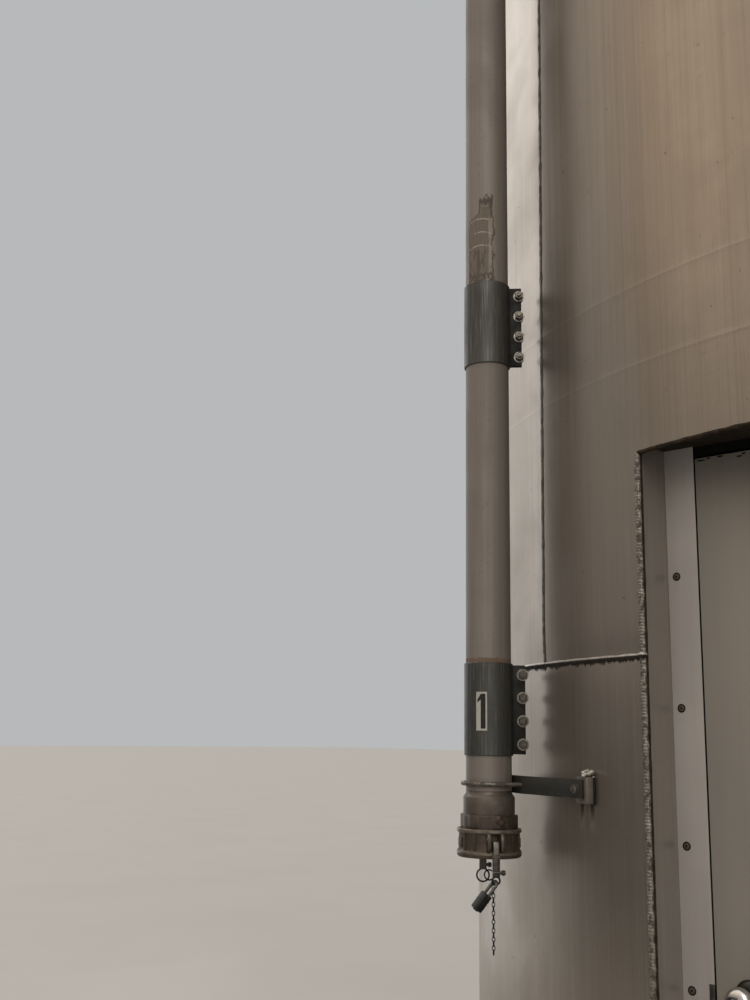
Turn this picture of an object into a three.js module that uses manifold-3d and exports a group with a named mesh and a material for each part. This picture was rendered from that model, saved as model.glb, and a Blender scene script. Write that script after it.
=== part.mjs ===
// A tall welded aluminium storage silo on a skirt, with a door into the skirt, a conical hopper bottom, a
// shallow cone roof, a fill pipe that ends in a capped hose coupling, and a wider vent pipe.
// Millimetres, +Z up. The origin is on the underside of the base ring, under the middle of the doorway,
// and the doorway faces -Y.
import * as THREE from 'three';
import { mergeVertices } from 'three/addons/utils/BufferGeometryUtils.js';
import Module from 'manifold-3d';

const wasm = await Module();
wasm.setup();

// Sizes of the shell
const RADIUS = 1829;
const WALL = 8;
const BASE_WIDTH = 150;
const BASE_THICK = 12;
const FIRST_SEAM = 1857;
const COURSE = 1840;
const COURSES = 10;
const SEAM_GAP = 0.3;
const FACETS = 60;
const FACET_TURN = 360 / FACETS;
const BACK_SEAMS = [12, 168];
const WALL_TOP = FIRST_SEAM + (COURSES - 1) * COURSE;
const INNER = RADIUS - WALL;

// Sizes of the doorway, measured from the silo's axis
const DOOR_HALF = 535;
const DOOR_HEAD = 2261;
const SOFFIT = 2284;
const SILL = 224;
const LINING = 6;
const FACE_Y = -1645;
const FRAME_BACK_Y = -1570;
const JAMB_WIDTH = 66;
const STOP_WIDTH = 18;
const HEAD_STOP_LOW = 2246;
const LEAF_HALF = 466;
const LEAF_LOW = 230;
const LEAF_HIGH = 2258;
const LEAF_THICK = 44;
const LEAF_RUN = 6;
const KNOB_X = -397;
const KNOB_Z = 1237;
const HINGE_HEIGHTS = [430, 1246, 2062];
const PIN_X = 467.5;
const PIN_OUT = 10;
const KNUCKLE = 8;
const HINGE_PLATE = 26;
const HINGE_TALL = 102;
const DOOR_EDGE = THREE.MathUtils.radToDeg(Math.asin(DOOR_HALF / RADIUS));

// Sizes of the hopper and the roof
const HOPPER_TOP = 2620;
const HOPPER_RIM = 2450;
const HOPPER_PLATE = 6;
const OUTLET_RADIUS = 150;
const OUTLET_LOW = 800;
const RIM_RADIUS = INNER - 0.4;
const LINING_REACH = INNER - 0.6;
const ROOF_SLOPE = Math.tan(THREE.MathUtils.degToRad(15));
const ROOF_PLATE = 6;
const EAVE = 21;
const EAVE_LIP = 45;
const HATCH_HOLE = 250;

// Sizes of the fill pipe: where it stands round the shell, and what is on it from the bottom up
const FILL_ANGLE = 239.4;
const FILL_FROM_AXIS = 1933;
const PIPE_RADIUS = 50.8;
const PIPE_SIDES = 16;
const CAP_LOW = 1440;
const CAP_HIGH = 1500;
const CAP_RIM = 70.5;
const CAP_WAIST = 66.5;
const HEX_HIGH = 1530;
const HEX_RADIUS = 62.5;
const CAP_ARMS_ANGLE = 318.5;
const ARM_OUT = 78;
const ARM_BELOW = 35;
const EAR_INSIDE = 10;
const EAR_THICK = 9;
const BACK_RING = 14;
const FRONT_RING = 8;
const RING_THICK = 2;
const CHAIN_PITCH = 8.7;
const CHAIN_LINKS = 16;
const LINK_THICK = 1.6;
const ADAPTER_HIGH = 1580;
const COLLAR_RADIUS = 56.8;
const COUPLING_LENGTH = 203;
const COUPLING_MIDDLES = [1757, 2658, 8720, 14760];
const BRACKET_LOW = 1595;
const BRACKET_STEP = 2060;
const BRACKETS = 9;
const BAR_TALL = 38;
const LUG_OUT = 24;
const CLIP_BELOW = 29;
const CLIP_ABOVE = 24;
const LUG_ANGLE = 247.5;
const EAR_ANGLE = 38;
const PIPE_END = 2;
const BEND_RADIUS = 600;
const FILL_ACROSS = WALL_TOP + 477;
const INLET_FROM_AXIS = 820;
const INLET_RADIUS = 150;

// Sizes of the vent pipe
const VENT_ANGLE = 150;
const VENT_FROM_AXIS = 1960;
const VENT_RADIUS = 76;
const VENT_LOW = 1220;
const VENT_COUPLINGS = [1480, 5060, 11100];
const VENT_BRACKETS = [1860, 3920, 5980, 8040, 10100, 12160, 14220, 16280];
const VENT_LUG_ANGLE = 158.5;
const VENT_BEND = 300;
const VENT_ACROSS = WALL_TOP + 490;

// Sizes of the two round ports
const PORT_ANGLE = 264;
const PORT_HEIGHTS = [4630, 9260];
const PORT_FLANGE = 105;
const PORT_OUT = 45;

function finish(color, roughness, metalness) {
  return new THREE.MeshStandardMaterial({ color, roughness, metalness });
}

const plateMetal = finish(0x8d877f, 0.45, 0.9);
const frameMetal = finish(0x9a948f, 0.5, 0.6);
const leafPaint = finish(0x7b766b, 0.55, 0.3);
const pipeMetal = finish(0x7d756b, 0.5, 0.8);
const zincMetal = finish(0x626a6c, 0.45, 0.8);
const castMetal = finish(0x6d6154, 0.6, 0.7);
const chromeMetal = finish(0xb9b6b2, 0.15, 1);
const lockMetal = finish(0x2c2b2b, 0.5, 0.6);
const sealRubber = finish(0x17181a, 0.8, 0);
const portGlass = finish(0x3a3f44, 0.2, 0.2);

const silo = new THREE.Group();
const body = new THREE.Group();
body.position.y = RADIUS - BASE_WIDTH / 2;
silo.add(body);

function degrees(angle) {
  return THREE.MathUtils.degToRad(angle);
}

// A closed shape as a solid that can be joined or cut.
function solid(geometry) {
  const bare = geometry.clone();
  bare.deleteAttribute('normal');
  bare.deleteAttribute('uv');
  const shared = mergeVertices(bare, 1e-4);
  const triVerts = Uint32Array.from(shared.index.array);
  const vertProperties = Float32Array.from(shared.attributes.position.array);
  const made = new wasm.Manifold(new wasm.Mesh({ numProp: 3, vertProperties, triVerts }));
  if (made.volume() > 0) {
    return made;
  }
  const turned = triVerts.map((v, i) => triVerts[i - (i % 3) + 2 - (i % 3)]);
  return new wasm.Manifold(new wasm.Mesh({ numProp: 3, vertProperties, triVerts: turned }));
}

function geometryOf(manifold) {
  const mesh = manifold.getMesh();
  const geometry = new THREE.BufferGeometry();
  geometry.setAttribute('position', new THREE.BufferAttribute(mesh.vertProperties, 3));
  geometry.setIndex(new THREE.BufferAttribute(mesh.triVerts, 1));
  return geometry;
}

function join(...geometries) {
  return geometryOf(geometries.map(solid).reduce((whole, piece) => whole.add(piece)));
}

function cut(geometry, ...tools) {
  return geometryOf(tools.map(solid).reduce((whole, tool) => whole.subtract(tool), solid(geometry)));
}

// A body turned about the Z axis from a closed outline of [radius, height] corners.
function turned(outline, sides = FACETS) {
  const points = outline.map(([r, z]) => new THREE.Vector2(r, z));
  if (outline[0][0] > 0 || outline[outline.length - 1][0] > 0) {
    points.push(points[0].clone());
  }
  return geometryOf(solid(new THREE.LatheGeometry(points, sides).rotateX(Math.PI / 2)));
}

function rod(radius, low, high, sides = PIPE_SIDES) {
  const height = high - low;
  const geometry = new THREE.CylinderGeometry(radius, radius, height, sides).rotateX(Math.PI / 2);
  return geometry.translate(0, 0, low + height / 2);
}

function block(width, depth, height, x = 0, y = 0, z = 0) {
  return new THREE.BoxGeometry(width, depth, height).translate(x, y, z);
}

// A plan outline of [x, y] corners, pulled up from one height to another.
function upright(corners, low, high) {
  const shape = new THREE.Shape(corners.map(([x, y]) => new THREE.Vector2(x, y)));
  return new THREE.ExtrudeGeometry(shape, { depth: high - low, bevelEnabled: false }).translate(0, 0, low);
}

// The corners of a round outline between two angles in degrees from +X, on the same steps for every piece.
function roundCorners(from, to, radius) {
  const angles = [from];
  for (let k = Math.floor(from / FACET_TURN) + 1; k * FACET_TURN < to; k += 1) {
    angles.push(k * FACET_TURN);
  }
  angles.push(to);
  return angles.map((angle) => [radius * Math.cos(degrees(angle)), radius * Math.sin(degrees(angle))]);
}

function wallArc(from, to, low, high) {
  const outside = roundCorners(from, to, RADIUS);
  const inside = roundCorners(from, to, INNER);
  return upright([...outside, ...inside.reverse()], low, high);
}

// A run that goes up, bends toward +X in the XZ plane and goes on straight.
class Run extends THREE.Curve {
  constructor(rise, radius, turn, onward, steps) {
    super();
    Object.assign(this, { rise, radius, turn, onward, steps });
  }

  getPoint(t, target = new THREE.Vector3()) {
    const step = t * (this.steps + 2);
    if (step <= 1) {
      return target.set(0, 0, this.rise * step);
    }
    const angle = (Math.min(step - 1, this.steps) / this.steps) * this.turn;
    const past = Math.max(step - 1 - this.steps, 0) * this.onward;
    const x = this.radius * (1 - Math.cos(angle)) + past * Math.sin(angle);
    return target.set(x, 0, this.rise + this.radius * Math.sin(angle) + past * Math.cos(angle));
  }

  getPointAt(u, target) {
    return this.getPoint(u, target);
  }

  getTangentAt(u, target) {
    return this.getTangent(u, target);
  }
}

function bentRod(thick, run, sides = PIPE_SIDES) {
  const section = new THREE.Shape();
  section.absarc(0, 0, thick, 0, 2 * Math.PI, false);
  const settings = { steps: run.steps + 2, curveSegments: sides / 2, extrudePath: run };
  return new THREE.ExtrudeGeometry(section, settings);
}

function add(name, geometry, material, group = body) {
  const mesh = new THREE.Mesh(geometry, material);
  mesh.name = name;
  group.add(mesh);
}

// A group standing beside the shell, with its +X pointing at the silo's axis.
function besideShell(angle, distance) {
  const group = new THREE.Group();
  group.position.set(distance * Math.cos(degrees(angle)), distance * Math.sin(degrees(angle)), 0);
  group.rotation.z = degrees(angle + 180);
  body.add(group);
  return group;
}

// The shell and the roof as tools for trimming what is welded to them, seen from such a group.
function shellTool(angle, distance, low, high) {
  const tool = rod(RADIUS + SEAM_GAP, low, high, FACETS);
  return tool.rotateZ(-degrees(angle + 180)).translate(distance, 0, 0);
}

function roofTool(angle, distance) {
  const below = WALL_TOP - 100;
  const outline = [
    [0, below],
    [RADIUS, below],
    [RADIUS, roofTop(RADIUS) + SEAM_GAP],
    [0, roofTop(0) + SEAM_GAP],
  ];
  return turned(outline).rotateZ(-degrees(angle + 180)).translate(distance, 0, 0);
}

function addBase() {
  const inside = RADIUS - BASE_WIDTH;
  add('base_ring', turned([[inside, 0], [RADIUS, 0], [RADIUS, BASE_THICK], [inside, BASE_THICK]]), plateMetal);
}

function addWalls() {
  const left = 270 - DOOR_EDGE;
  const right = 270 + DOOR_EDGE;
  const slit = 0.01;
  const low = BASE_THICK + SEAM_GAP;
  const seam = FIRST_SEAM - SEAM_GAP / 2;
  const [backRight, backLeft] = BACK_SEAMS;
  add('skirt_left', wallArc(backLeft + slit, left - slit, low, seam), plateMetal);
  add('skirt_right', wallArc(right + slit, backRight + 360 - slit, low, seam), plateMetal);
  add('skirt_back', wallArc(backRight + slit, backLeft - slit, low, seam), plateMetal);
  add('skirt_below_door', wallArc(left + slit, right - slit, low, SILL), plateMetal);
  const secondLow = FIRST_SEAM + SEAM_GAP / 2;
  const secondHigh = FIRST_SEAM + COURSE - SEAM_GAP / 2;
  add('wall_2_round', wallArc(right + slit, left + 360 - slit, secondLow, secondHigh), plateMetal);
  add('wall_2_over_door', wallArc(left + slit, right - slit, DOOR_HEAD, secondHigh), plateMetal);
  for (let course = 3; course < COURSES; course += 2) {
    const from = FIRST_SEAM + (course - 2) * COURSE + SEAM_GAP / 2;
    const to = from + 2 * COURSE - SEAM_GAP;
    const outline = [[INNER, from], [RADIUS, from], [RADIUS, to], [INNER, to]];
    add(`wall_${course}_${course + 1}`, turned(outline), plateMetal);
  }
}

function roofUnder(radius) {
  return WALL_TOP + SEAM_GAP + (RADIUS - radius) * ROOF_SLOPE;
}

function roofTop(radius) {
  return roofUnder(radius) + ROOF_PLATE;
}

function addRoof() {
  const edge = RADIUS + EAVE;
  const lip = edge - ROOF_PLATE;
  const bottom = WALL_TOP - EAVE_LIP;
  const outline = [
    [HATCH_HOLE, roofUnder(HATCH_HOLE)],
    [lip, roofUnder(lip)],
    [lip, bottom],
    [edge, bottom],
    [edge, roofTop(edge)],
    [HATCH_HOLE, roofTop(HATCH_HOLE)],
  ];
  add('roof_cone', turned(outline), plateMetal);
  const plate = 8;
  const neck = HATCH_HOLE + 6 + plate;
  const lid = neck + 20;
  const foot = roofTop(neck - plate) + 2 * SEAM_GAP;
  const lidLow = foot + 90;
  const hatch = [
    [0, lidLow + plate],
    [neck - plate, lidLow + plate],
    [neck - plate, foot],
    [neck, foot],
    [neck, lidLow],
    [lid, lidLow],
    [lid, lidLow + 22],
    [0, lidLow + 40],
  ];
  add('roof_hatch', turned(hatch, 32), plateMetal);
}

function addHopper() {
  const slant = HOPPER_PLATE * Math.SQRT2;
  const inside = RIM_RADIUS - HOPPER_PLATE;
  const coneTop = (radius) => HOPPER_TOP - (inside - radius);
  const cone = [
    [RIM_RADIUS, HOPPER_RIM],
    [RIM_RADIUS, HOPPER_TOP],
    [inside, HOPPER_TOP],
    [OUTLET_RADIUS, coneTop(OUTLET_RADIUS)],
    [OUTLET_RADIUS, coneTop(OUTLET_RADIUS) - slant],
    [inside, HOPPER_TOP - slant],
    [inside, HOPPER_RIM],
  ];
  add('hopper_cone', turned(cone), plateMetal);
  const neck = OUTLET_RADIUS - HOPPER_PLATE;
  const flange = OUTLET_RADIUS + 65;
  const outlet = [
    [neck, OUTLET_LOW],
    [flange, OUTLET_LOW],
    [flange, OUTLET_LOW + 12],
    [OUTLET_RADIUS, OUTLET_LOW + 12],
    [OUTLET_RADIUS, coneTop(OUTLET_RADIUS) - slant - SEAM_GAP],
    [neck, coneTop(OUTLET_RADIUS) - slant - SEAM_GAP],
  ];
  add('hopper_outlet', turned(outlet, 24), plateMetal);
}

// The plates that line the doorway from the back of the shell to the back of the frame.
function addLining() {
  const outer = DOOR_HALF + LINING;
  const reach = -Math.sqrt(LINING_REACH ** 2 - outer ** 2);
  const low = SILL - LINING;
  for (const [name, side] of [['reveal_left', -1], ['reveal_right', 1]]) {
    const depth = FRAME_BACK_Y - reach;
    const x = side * (DOOR_HALF + LINING / 2);
    const height = SOFFIT - SILL - 2 * SEAM_GAP;
    const plate = block(LINING, depth, height, x, reach + depth / 2, SILL + SEAM_GAP + height / 2);
    add(name, plate, plateMetal);
  }
  const edge = THREE.MathUtils.radToDeg(Math.asin(outer / LINING_REACH));
  const arc = roundCorners(270 - edge, 270 + edge, LINING_REACH);
  const corners = [...arc, [outer, FRAME_BACK_Y], [-outer, FRAME_BACK_Y]];
  add('soffit', upright(corners, SOFFIT, SOFFIT + LINING), plateMetal);
  add('sill', upright(corners, low, SILL), plateMetal);
}

// One side of a butt hinge: its plate on the leaf or the jamb, and its knuckles round the pin.
function hingeSide(side, middle, spans) {
  const edge = PIN_X + side * (KNUCKLE + 0.5);
  const plateMiddle = edge + (side * HINGE_PLATE) / 2;
  const pieces = [block(HINGE_PLATE, 4, HINGE_TALL, plateMiddle, FACE_Y - 1.5, middle)];
  for (const [from, to] of spans) {
    pieces.push(rod(KNUCKLE, middle + from, middle + to, 8).translate(PIN_X, FACE_Y - PIN_OUT, 0));
    const tongueMiddle = PIN_X + side * (KNUCKLE + 1);
    pieces.push(block(8, 6.5, to - from, tongueMiddle, FACE_Y - 6.2, middle + (from + to) / 2));
  }
  return pieces;
}

function addFrame() {
  const face = DOOR_HALF - JAMB_WIDTH;
  const stop = face - STOP_WIDTH;
  const stopY = FACE_Y + LEAF_THICK + LEAF_RUN;
  const outer = DOOR_HALF - SEAM_GAP;
  const corners = [
    [outer, FACE_Y],
    [outer, FRAME_BACK_Y],
    [stop, FRAME_BACK_Y],
    [stop, stopY],
    [face, stopY],
    [face, FACE_Y],
  ];
  const low = SILL + SEAM_GAP;
  const high = SOFFIT - SEAM_GAP;
  const mirrored = corners.map(([x, y]) => [-x, y]).reverse();
  add('jamb_left', upright(mirrored, low, high), frameMetal);
  const right = [upright(corners, low, high)];
  for (const height of HINGE_HEIGHTS) {
    right.push(...hingeSide(1, height, [[-51, -18], [18, 51]]));
    right.push(rod(3.5, height - 55, height + 55, 8).translate(PIN_X, FACE_Y - PIN_OUT, 0));
  }
  add('jamb_right', join(...right), frameMetal);
  const width = 2 * (stop - SEAM_GAP);
  const depth = FRAME_BACK_Y - stopY;
  const middle = (FRAME_BACK_Y + stopY) / 2;
  add('door_head', block(width, depth, high - HEAD_STOP_LOW, 0, middle, (high + HEAD_STOP_LOW) / 2), frameMetal);
  const sealLow = LEAF_HIGH + LEAF_RUN;
  const sealWidth = 2 * (face - SEAM_GAP);
  add('head_seal', block(sealWidth, 34, high - sealLow, 0, FACE_Y + 22, (high + sealLow) / 2), sealRubber);
}

function addDoor() {
  const height = LEAF_HIGH - LEAF_LOW;
  const plain = block(2 * LEAF_HALF, LEAF_THICK, height, 0, FACE_Y + LEAF_THICK / 2, LEAF_LOW + height / 2);
  const barrels = [];
  const bores = [];
  for (const middle of HINGE_HEIGHTS) {
    barrels.push(...hingeSide(-1, middle, [[-17.5, 17.5]]));
    bores.push(rod(4, middle - 60, middle + 60, 8).translate(PIN_X, FACE_Y - PIN_OUT, 0));
  }
  add('door_leaf', cut(join(plain, ...barrels), ...bores), leafPaint);
  const knob = [
    [0, 0],
    [32, 0],
    [32, 5],
    [22, 9],
    [12, 11],
    [11, 26],
    [19, 32],
    [25, 42],
    [26, 51],
    [22, 60],
    [12, 64],
    [0, 65],
  ];
  const shape = turned(knob, 16).rotateX(Math.PI / 2).translate(KNOB_X, FACE_Y - SEAM_GAP, KNOB_Z);
  add('door_knob', shape, chromeMetal);
}

// A sleeve round the joint of two pipes, with the bolted ear at an angle from the group's +X.
function coupling(radius, middle, ear) {
  const inner = radius + SEAM_GAP;
  const outer = radius + 3.8;
  const low = middle - COUPLING_LENGTH / 2;
  const high = middle + COUPLING_LENGTH / 2;
  const sleeve = turned([[inner, low], [outer, low], [outer, high], [inner, high]], PIPE_SIDES);
  const reach = 30;
  const root = 3;
  const flap = block(reach + root, 14, COUPLING_LENGTH - 8, outer + (reach - root) / 2, 0, middle);
  return join(sleeve, flap.rotateZ(degrees(ear)));
}

// A U-bolt round a pipe, its bow away from the shell and its legs through the bar.
function uBolt(bow, leg) {
  const run = new Run(leg, bow, Math.PI, leg, 8);
  return bentRod(4.75, run, 6).rotateY(-Math.PI / 2).rotateX(Math.PI / 2).translate(leg, bow, 0);
}

// A flat bar with a U-bolt round the pipe and a clip on the shell, in the frame of besideShell. The bar
// runs on from the pipe to the clip, which stands further round the shell.
function bracket({ height, radius, angle, distance, lugAngle, seat = SEAM_GAP }) {
  const bar = 6;
  const near = radius + seat;
  const bow = radius + 7;
  const outside = RADIUS + LUG_OUT;
  const around = degrees(angle - lugAngle);
  const lugX = distance - outside * Math.cos(around);
  const lugY = outside * Math.sin(around);
  const plan = [
    [near, bow + 12],
    [near, -bow - 4],
    [lugX, lugY],
    [lugX + bar, lugY + 2],
    [near + bar, -bow - 3],
    [near + bar, bow + 12],
  ];
  const strap = upright(plan, height - BAR_TALL / 2, height + BAR_TALL / 2);
  const bolt = uBolt(bow, near + 22).translate(0, 0, height);
  const under = lugX + bar - 1;
  const thick = 8;
  const weld = distance - Math.sqrt(RADIUS ** 2 - lugY ** 2) + 6;
  const angleIron = [
    [under, lugY + 40],
    [under, lugY - 10],
    [weld, lugY - 10],
    [weld, lugY - 10 + thick],
    [under + thick, lugY - 10 + thick],
    [under + thick, lugY + 40],
  ];
  const clip = upright(angleIron, height - CLIP_BELOW, height + CLIP_ABOVE);
  return join(strap, bolt, cut(clip, shellTool(angle, distance, height - 60, height + 60)));
}

// A small padlock, its bow at the origin and its body hanging straight down.
function padlock(thick) {
  const bend = 12;
  const leg = 34;
  const shackle = bentRod(thick, new Run(leg, bend, Math.PI, leg, 6), 8);
  return join(shackle, block(34, 18, 42, bend, 0, -13)).translate(-bend, 0, -leg - bend);
}

// A short chain, each link turned a quarter from the last.
function chain(top) {
  const links = [];
  for (let k = 0; k < CHAIN_LINKS; k += 1) {
    const middle = top - CHAIN_PITCH / 2 - 1 - k * CHAIN_PITCH;
    const link = block(5.6, LINK_THICK, CHAIN_PITCH + 2, 0, 0, middle);
    links.push(link.rotateZ((k % 2) * (Math.PI / 2)));
  }
  return join(...links);
}

// The height of a pull ring's middle, its top sunk into the arm's foot.
function ringMiddle(radius) {
  return CAP_LOW - ARM_BELOW + 1 - radius;
}

function addCap(pipe) {
  const group = new THREE.Group();
  group.rotation.z = degrees(CAP_ARMS_ANGLE - (FILL_ANGLE + 180));
  pipe.add(group);
  const profile = [
    [0, CAP_LOW + 6],
    [62, CAP_LOW + 6],
    [CAP_WAIST, CAP_LOW],
    [CAP_RIM, CAP_LOW + 5],
    [CAP_RIM, CAP_LOW + 14],
    [CAP_WAIST, CAP_LOW + 17],
    [CAP_WAIST, CAP_HIGH - 9],
    [CAP_RIM, CAP_HIGH - 7],
    [CAP_RIM, CAP_HIGH],
    [0, CAP_HIGH],
  ];
  const ears = [];
  const slots = [];
  const footLow = CAP_LOW - ARM_BELOW;
  const armWidth = 2 * (EAR_INSIDE - SEAM_GAP);
  for (const [name, side, radius] of [['cap_arm_back', -1, BACK_RING], ['cap_arm_front', 1, FRONT_RING]]) {
    for (const offset of [-1, 1]) {
      const middle = offset * (EAR_INSIDE + EAR_THICK / 2);
      ears.push(block(24, EAR_THICK, 41, side * 72, middle, CAP_LOW + 35.5));
    }
    slots.push(block(30, 2 * EAR_INSIDE - 1, 38, side * 73, 0, CAP_LOW + 31));
    const top = block(11, armWidth, 24, side * ARM_OUT, 0, CAP_LOW + 26);
    const foot = block(11, 16, 62, side * ARM_OUT, 0, footLow + 31);
    const ring = new THREE.TorusGeometry(radius, RING_THICK, 6, 12).rotateY(Math.PI / 2);
    add(name, join(top, foot, ring.translate(side * ARM_OUT, 0, ringMiddle(radius))), castMetal, group);
  }
  add('dust_cap', cut(join(turned(profile, PIPE_SIDES), ...ears), ...slots), castMetal, group);

  const bow = 3.5;
  const lockTop = ringMiddle(FRONT_RING) - FRONT_RING + RING_THICK + bow + 2 * SEAM_GAP;
  const lock = padlock(bow).rotateZ(degrees(20)).rotateX(degrees(-38)).translate(ARM_OUT, 0, lockTop);
  add('cap_padlock', lock, lockMetal, group);
  const chainY = -6;
  const touching = chainY + LINK_THICK / 2;
  const ringLow = ringMiddle(FRONT_RING) - Math.sqrt((FRONT_RING + RING_THICK) ** 2 - touching ** 2);
  add('cap_chain', chain(ringLow - SEAM_GAP).translate(ARM_OUT, chainY, 0), lockMetal, group);
}

function addFillPipe() {
  const pipe = besideShell(FILL_ANGLE, FILL_FROM_AXIS);
  const collar = [
    [0, HEX_HIGH - 1],
    [COLLAR_RADIUS, HEX_HIGH - 1],
    [COLLAR_RADIUS, ADAPTER_HIGH - 17],
    [49, ADAPTER_HIGH],
    [0, ADAPTER_HIGH],
  ];
  const nut = rod(HEX_RADIUS, CAP_HIGH + SEAM_GAP, HEX_HIGH, 12);
  add('pipe_adapter', join(turned(collar, PIPE_SIDES), nut), castMetal, pipe);
  addCap(pipe);

  const joints = COUPLING_MIDDLES;
  const starts = [ADAPTER_HIGH + SEAM_GAP, ...joints.map((middle) => middle + PIPE_END)];
  joints.forEach((middle, i) => {
    add(`fill_pipe_${i + 1}`, rod(PIPE_RADIUS, starts[i], middle - PIPE_END), pipeMetal, pipe);
    const sleeve = coupling(PIPE_RADIUS, middle, EAR_ANGLE - (FILL_ANGLE - 180));
    add(`coupling_${i + 1}`, sleeve, zincMetal, pipe);
  });
  const last = starts[joints.length];
  const rise = FILL_ACROSS - BEND_RADIUS - last;
  const inletX = FILL_FROM_AXIS - INLET_FROM_AXIS;
  const onward = inletX - INLET_RADIUS - SEAM_GAP - BEND_RADIUS;
  const run = new Run(rise, BEND_RADIUS, Math.PI / 2, onward, 8);
  add('fill_pipe_top', bentRod(PIPE_RADIUS, run).translate(0, 0, last), pipeMetal, pipe);

  for (let k = 0; k < BRACKETS; k += 1) {
    const piece = bracket({
      height: BRACKET_LOW + k * BRACKET_STEP,
      radius: PIPE_RADIUS,
      angle: FILL_ANGLE,
      distance: FILL_FROM_AXIS,
      lugAngle: LUG_ANGLE,
    });
    add(`pipe_bracket_${k + 1}`, piece, zincMetal, pipe);
  }

  const inlet = rod(INLET_RADIUS, WALL_TOP, FILL_ACROSS + 150, 24).translate(inletX, 0, 0);
  add('roof_inlet', cut(inlet, roofTool(FILL_ANGLE, FILL_FROM_AXIS)), plateMetal, pipe);
}

// The vent pipe is open at its foot. Its brackets are clamped on, and each is one piece with its length
// of pipe.
function addVentPipe() {
  const pipe = besideShell(VENT_ANGLE, VENT_FROM_AXIS);
  const [first, second, third] = VENT_COUPLINGS;
  const bore = VENT_RADIUS - 4;
  const high = first - PIPE_END;
  const mouth = [[bore, VENT_LOW], [VENT_RADIUS, VENT_LOW], [VENT_RADIUS, high], [bore, high]];
  add('vent_mouth', turned(mouth, PIPE_SIDES), pipeMetal, pipe);

  const clamped = (low, top, length) => {
    const heights = VENT_BRACKETS.filter((height) => height > low && height < top);
    const brackets = heights.map((height) => bracket({
      height,
      radius: VENT_RADIUS,
      angle: VENT_ANGLE,
      distance: VENT_FROM_AXIS,
      lugAngle: VENT_LUG_ANGLE,
      seat: -0.5,
    }));
    return join(length, ...brackets);
  };
  const stretches = [[first, second], [second, third]];
  stretches.forEach(([from, to], i) => {
    const length = rod(VENT_RADIUS, from + PIPE_END, to - PIPE_END);
    add(`vent_pipe_${i + 1}`, clamped(from, to, length), pipeMetal, pipe);
  });
  const start = third + PIPE_END;
  const rise = VENT_ACROSS - VENT_BEND - start;
  const landing = VENT_FROM_AXIS - 2 * VENT_BEND;
  const drop = VENT_ACROSS - VENT_BEND - roofTop(landing) + 60;
  const length = bentRod(VENT_RADIUS, new Run(rise, VENT_BEND, Math.PI, drop, 12)).translate(0, 0, start);
  const top = clamped(third, WALL_TOP, length);
  add('vent_pipe_top', cut(top, roofTool(VENT_ANGLE, VENT_FROM_AXIS)), pipeMetal, pipe);
  VENT_COUPLINGS.forEach((middle, i) => {
    add(`vent_coupling_${i + 1}`, coupling(VENT_RADIUS, middle, 60), zincMetal, pipe);
  });
}

function addPorts() {
  const outline = [
    [0, 4],
    [58, 4],
    [60, 0],
    [PORT_FLANGE, 0],
    [PORT_FLANGE, 14],
    [78, 14],
    [78, 70],
    [0, 70],
  ];
  const distance = RADIUS + PORT_OUT;
  PORT_HEIGHTS.forEach((height, i) => {
    const port = besideShell(PORT_ANGLE, distance);
    const shape = turned(outline, 24).rotateY(Math.PI / 2).translate(0, 0, height);
    const trimmed = cut(shape, shellTool(PORT_ANGLE, distance, height - 200, height + 200));
    add(['port_low', 'port_high'][i], trimmed, portGlass, port);
  });
}

addBase();
addWalls();
addRoof();
addHopper();
addLining();
addFrame();
addDoor();
addFillPipe();
addVentPipe();
addPorts();

export default silo;
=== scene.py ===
"""A tall welded aluminium storage silo with its fill pipe, vent pipe and the door in its skirt.

Metres, +Z up. The doorway faces -Y and the silo's axis stands behind the origin.
"""
import math

import bmesh
import bpy
from mathutils import Matrix, Vector, noise


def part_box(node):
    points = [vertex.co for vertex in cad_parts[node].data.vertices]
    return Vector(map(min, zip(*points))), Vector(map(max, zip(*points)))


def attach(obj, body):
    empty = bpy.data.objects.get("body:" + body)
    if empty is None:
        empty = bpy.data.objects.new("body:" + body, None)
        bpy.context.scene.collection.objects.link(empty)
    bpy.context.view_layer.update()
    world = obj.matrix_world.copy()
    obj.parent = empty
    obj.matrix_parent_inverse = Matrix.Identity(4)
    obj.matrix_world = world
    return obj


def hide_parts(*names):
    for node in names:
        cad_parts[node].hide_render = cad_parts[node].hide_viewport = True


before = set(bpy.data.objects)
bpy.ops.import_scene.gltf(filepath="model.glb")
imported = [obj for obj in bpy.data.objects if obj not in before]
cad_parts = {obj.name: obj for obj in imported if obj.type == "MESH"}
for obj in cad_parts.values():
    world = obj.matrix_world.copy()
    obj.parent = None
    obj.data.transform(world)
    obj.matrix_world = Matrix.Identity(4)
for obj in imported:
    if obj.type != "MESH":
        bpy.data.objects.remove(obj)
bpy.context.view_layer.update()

# The shell and its courses, counted from 1 at the ground
RING_LOW, RING_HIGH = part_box("wall_3_4")
RADIUS = (RING_HIGH.x - RING_LOW.x) / 2
AXIS_Y = (RING_HIGH.y + RING_LOW.y) / 2
WALL = 0.008
FIRST_SEAM = 1.857
COURSE = 1.84
COURSES = 10
WALL_TOP = FIRST_SEAM + (COURSES - 1) * COURSE
BASE_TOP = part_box("base_ring")[1].z
BASE_WIDTH = 0.15

# The plate is drawn in at its level welds, peaks at its upright ones and is slightly wavy
PINCH = 0.0024
PINCH_REACH = 0.035
PEAK = 0.0008
PEAK_REACH = 0.12
PEAK_WIDTH = 0.003
WAVES = 0.0011

# The hopper's welds show through the shell as faint ridges
HOPPER_WELDS = (2.45, 2.62)
HOPPER_RIDGE = 0.0002
HOPPER_RIDGE_REACH = 0.005

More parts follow.
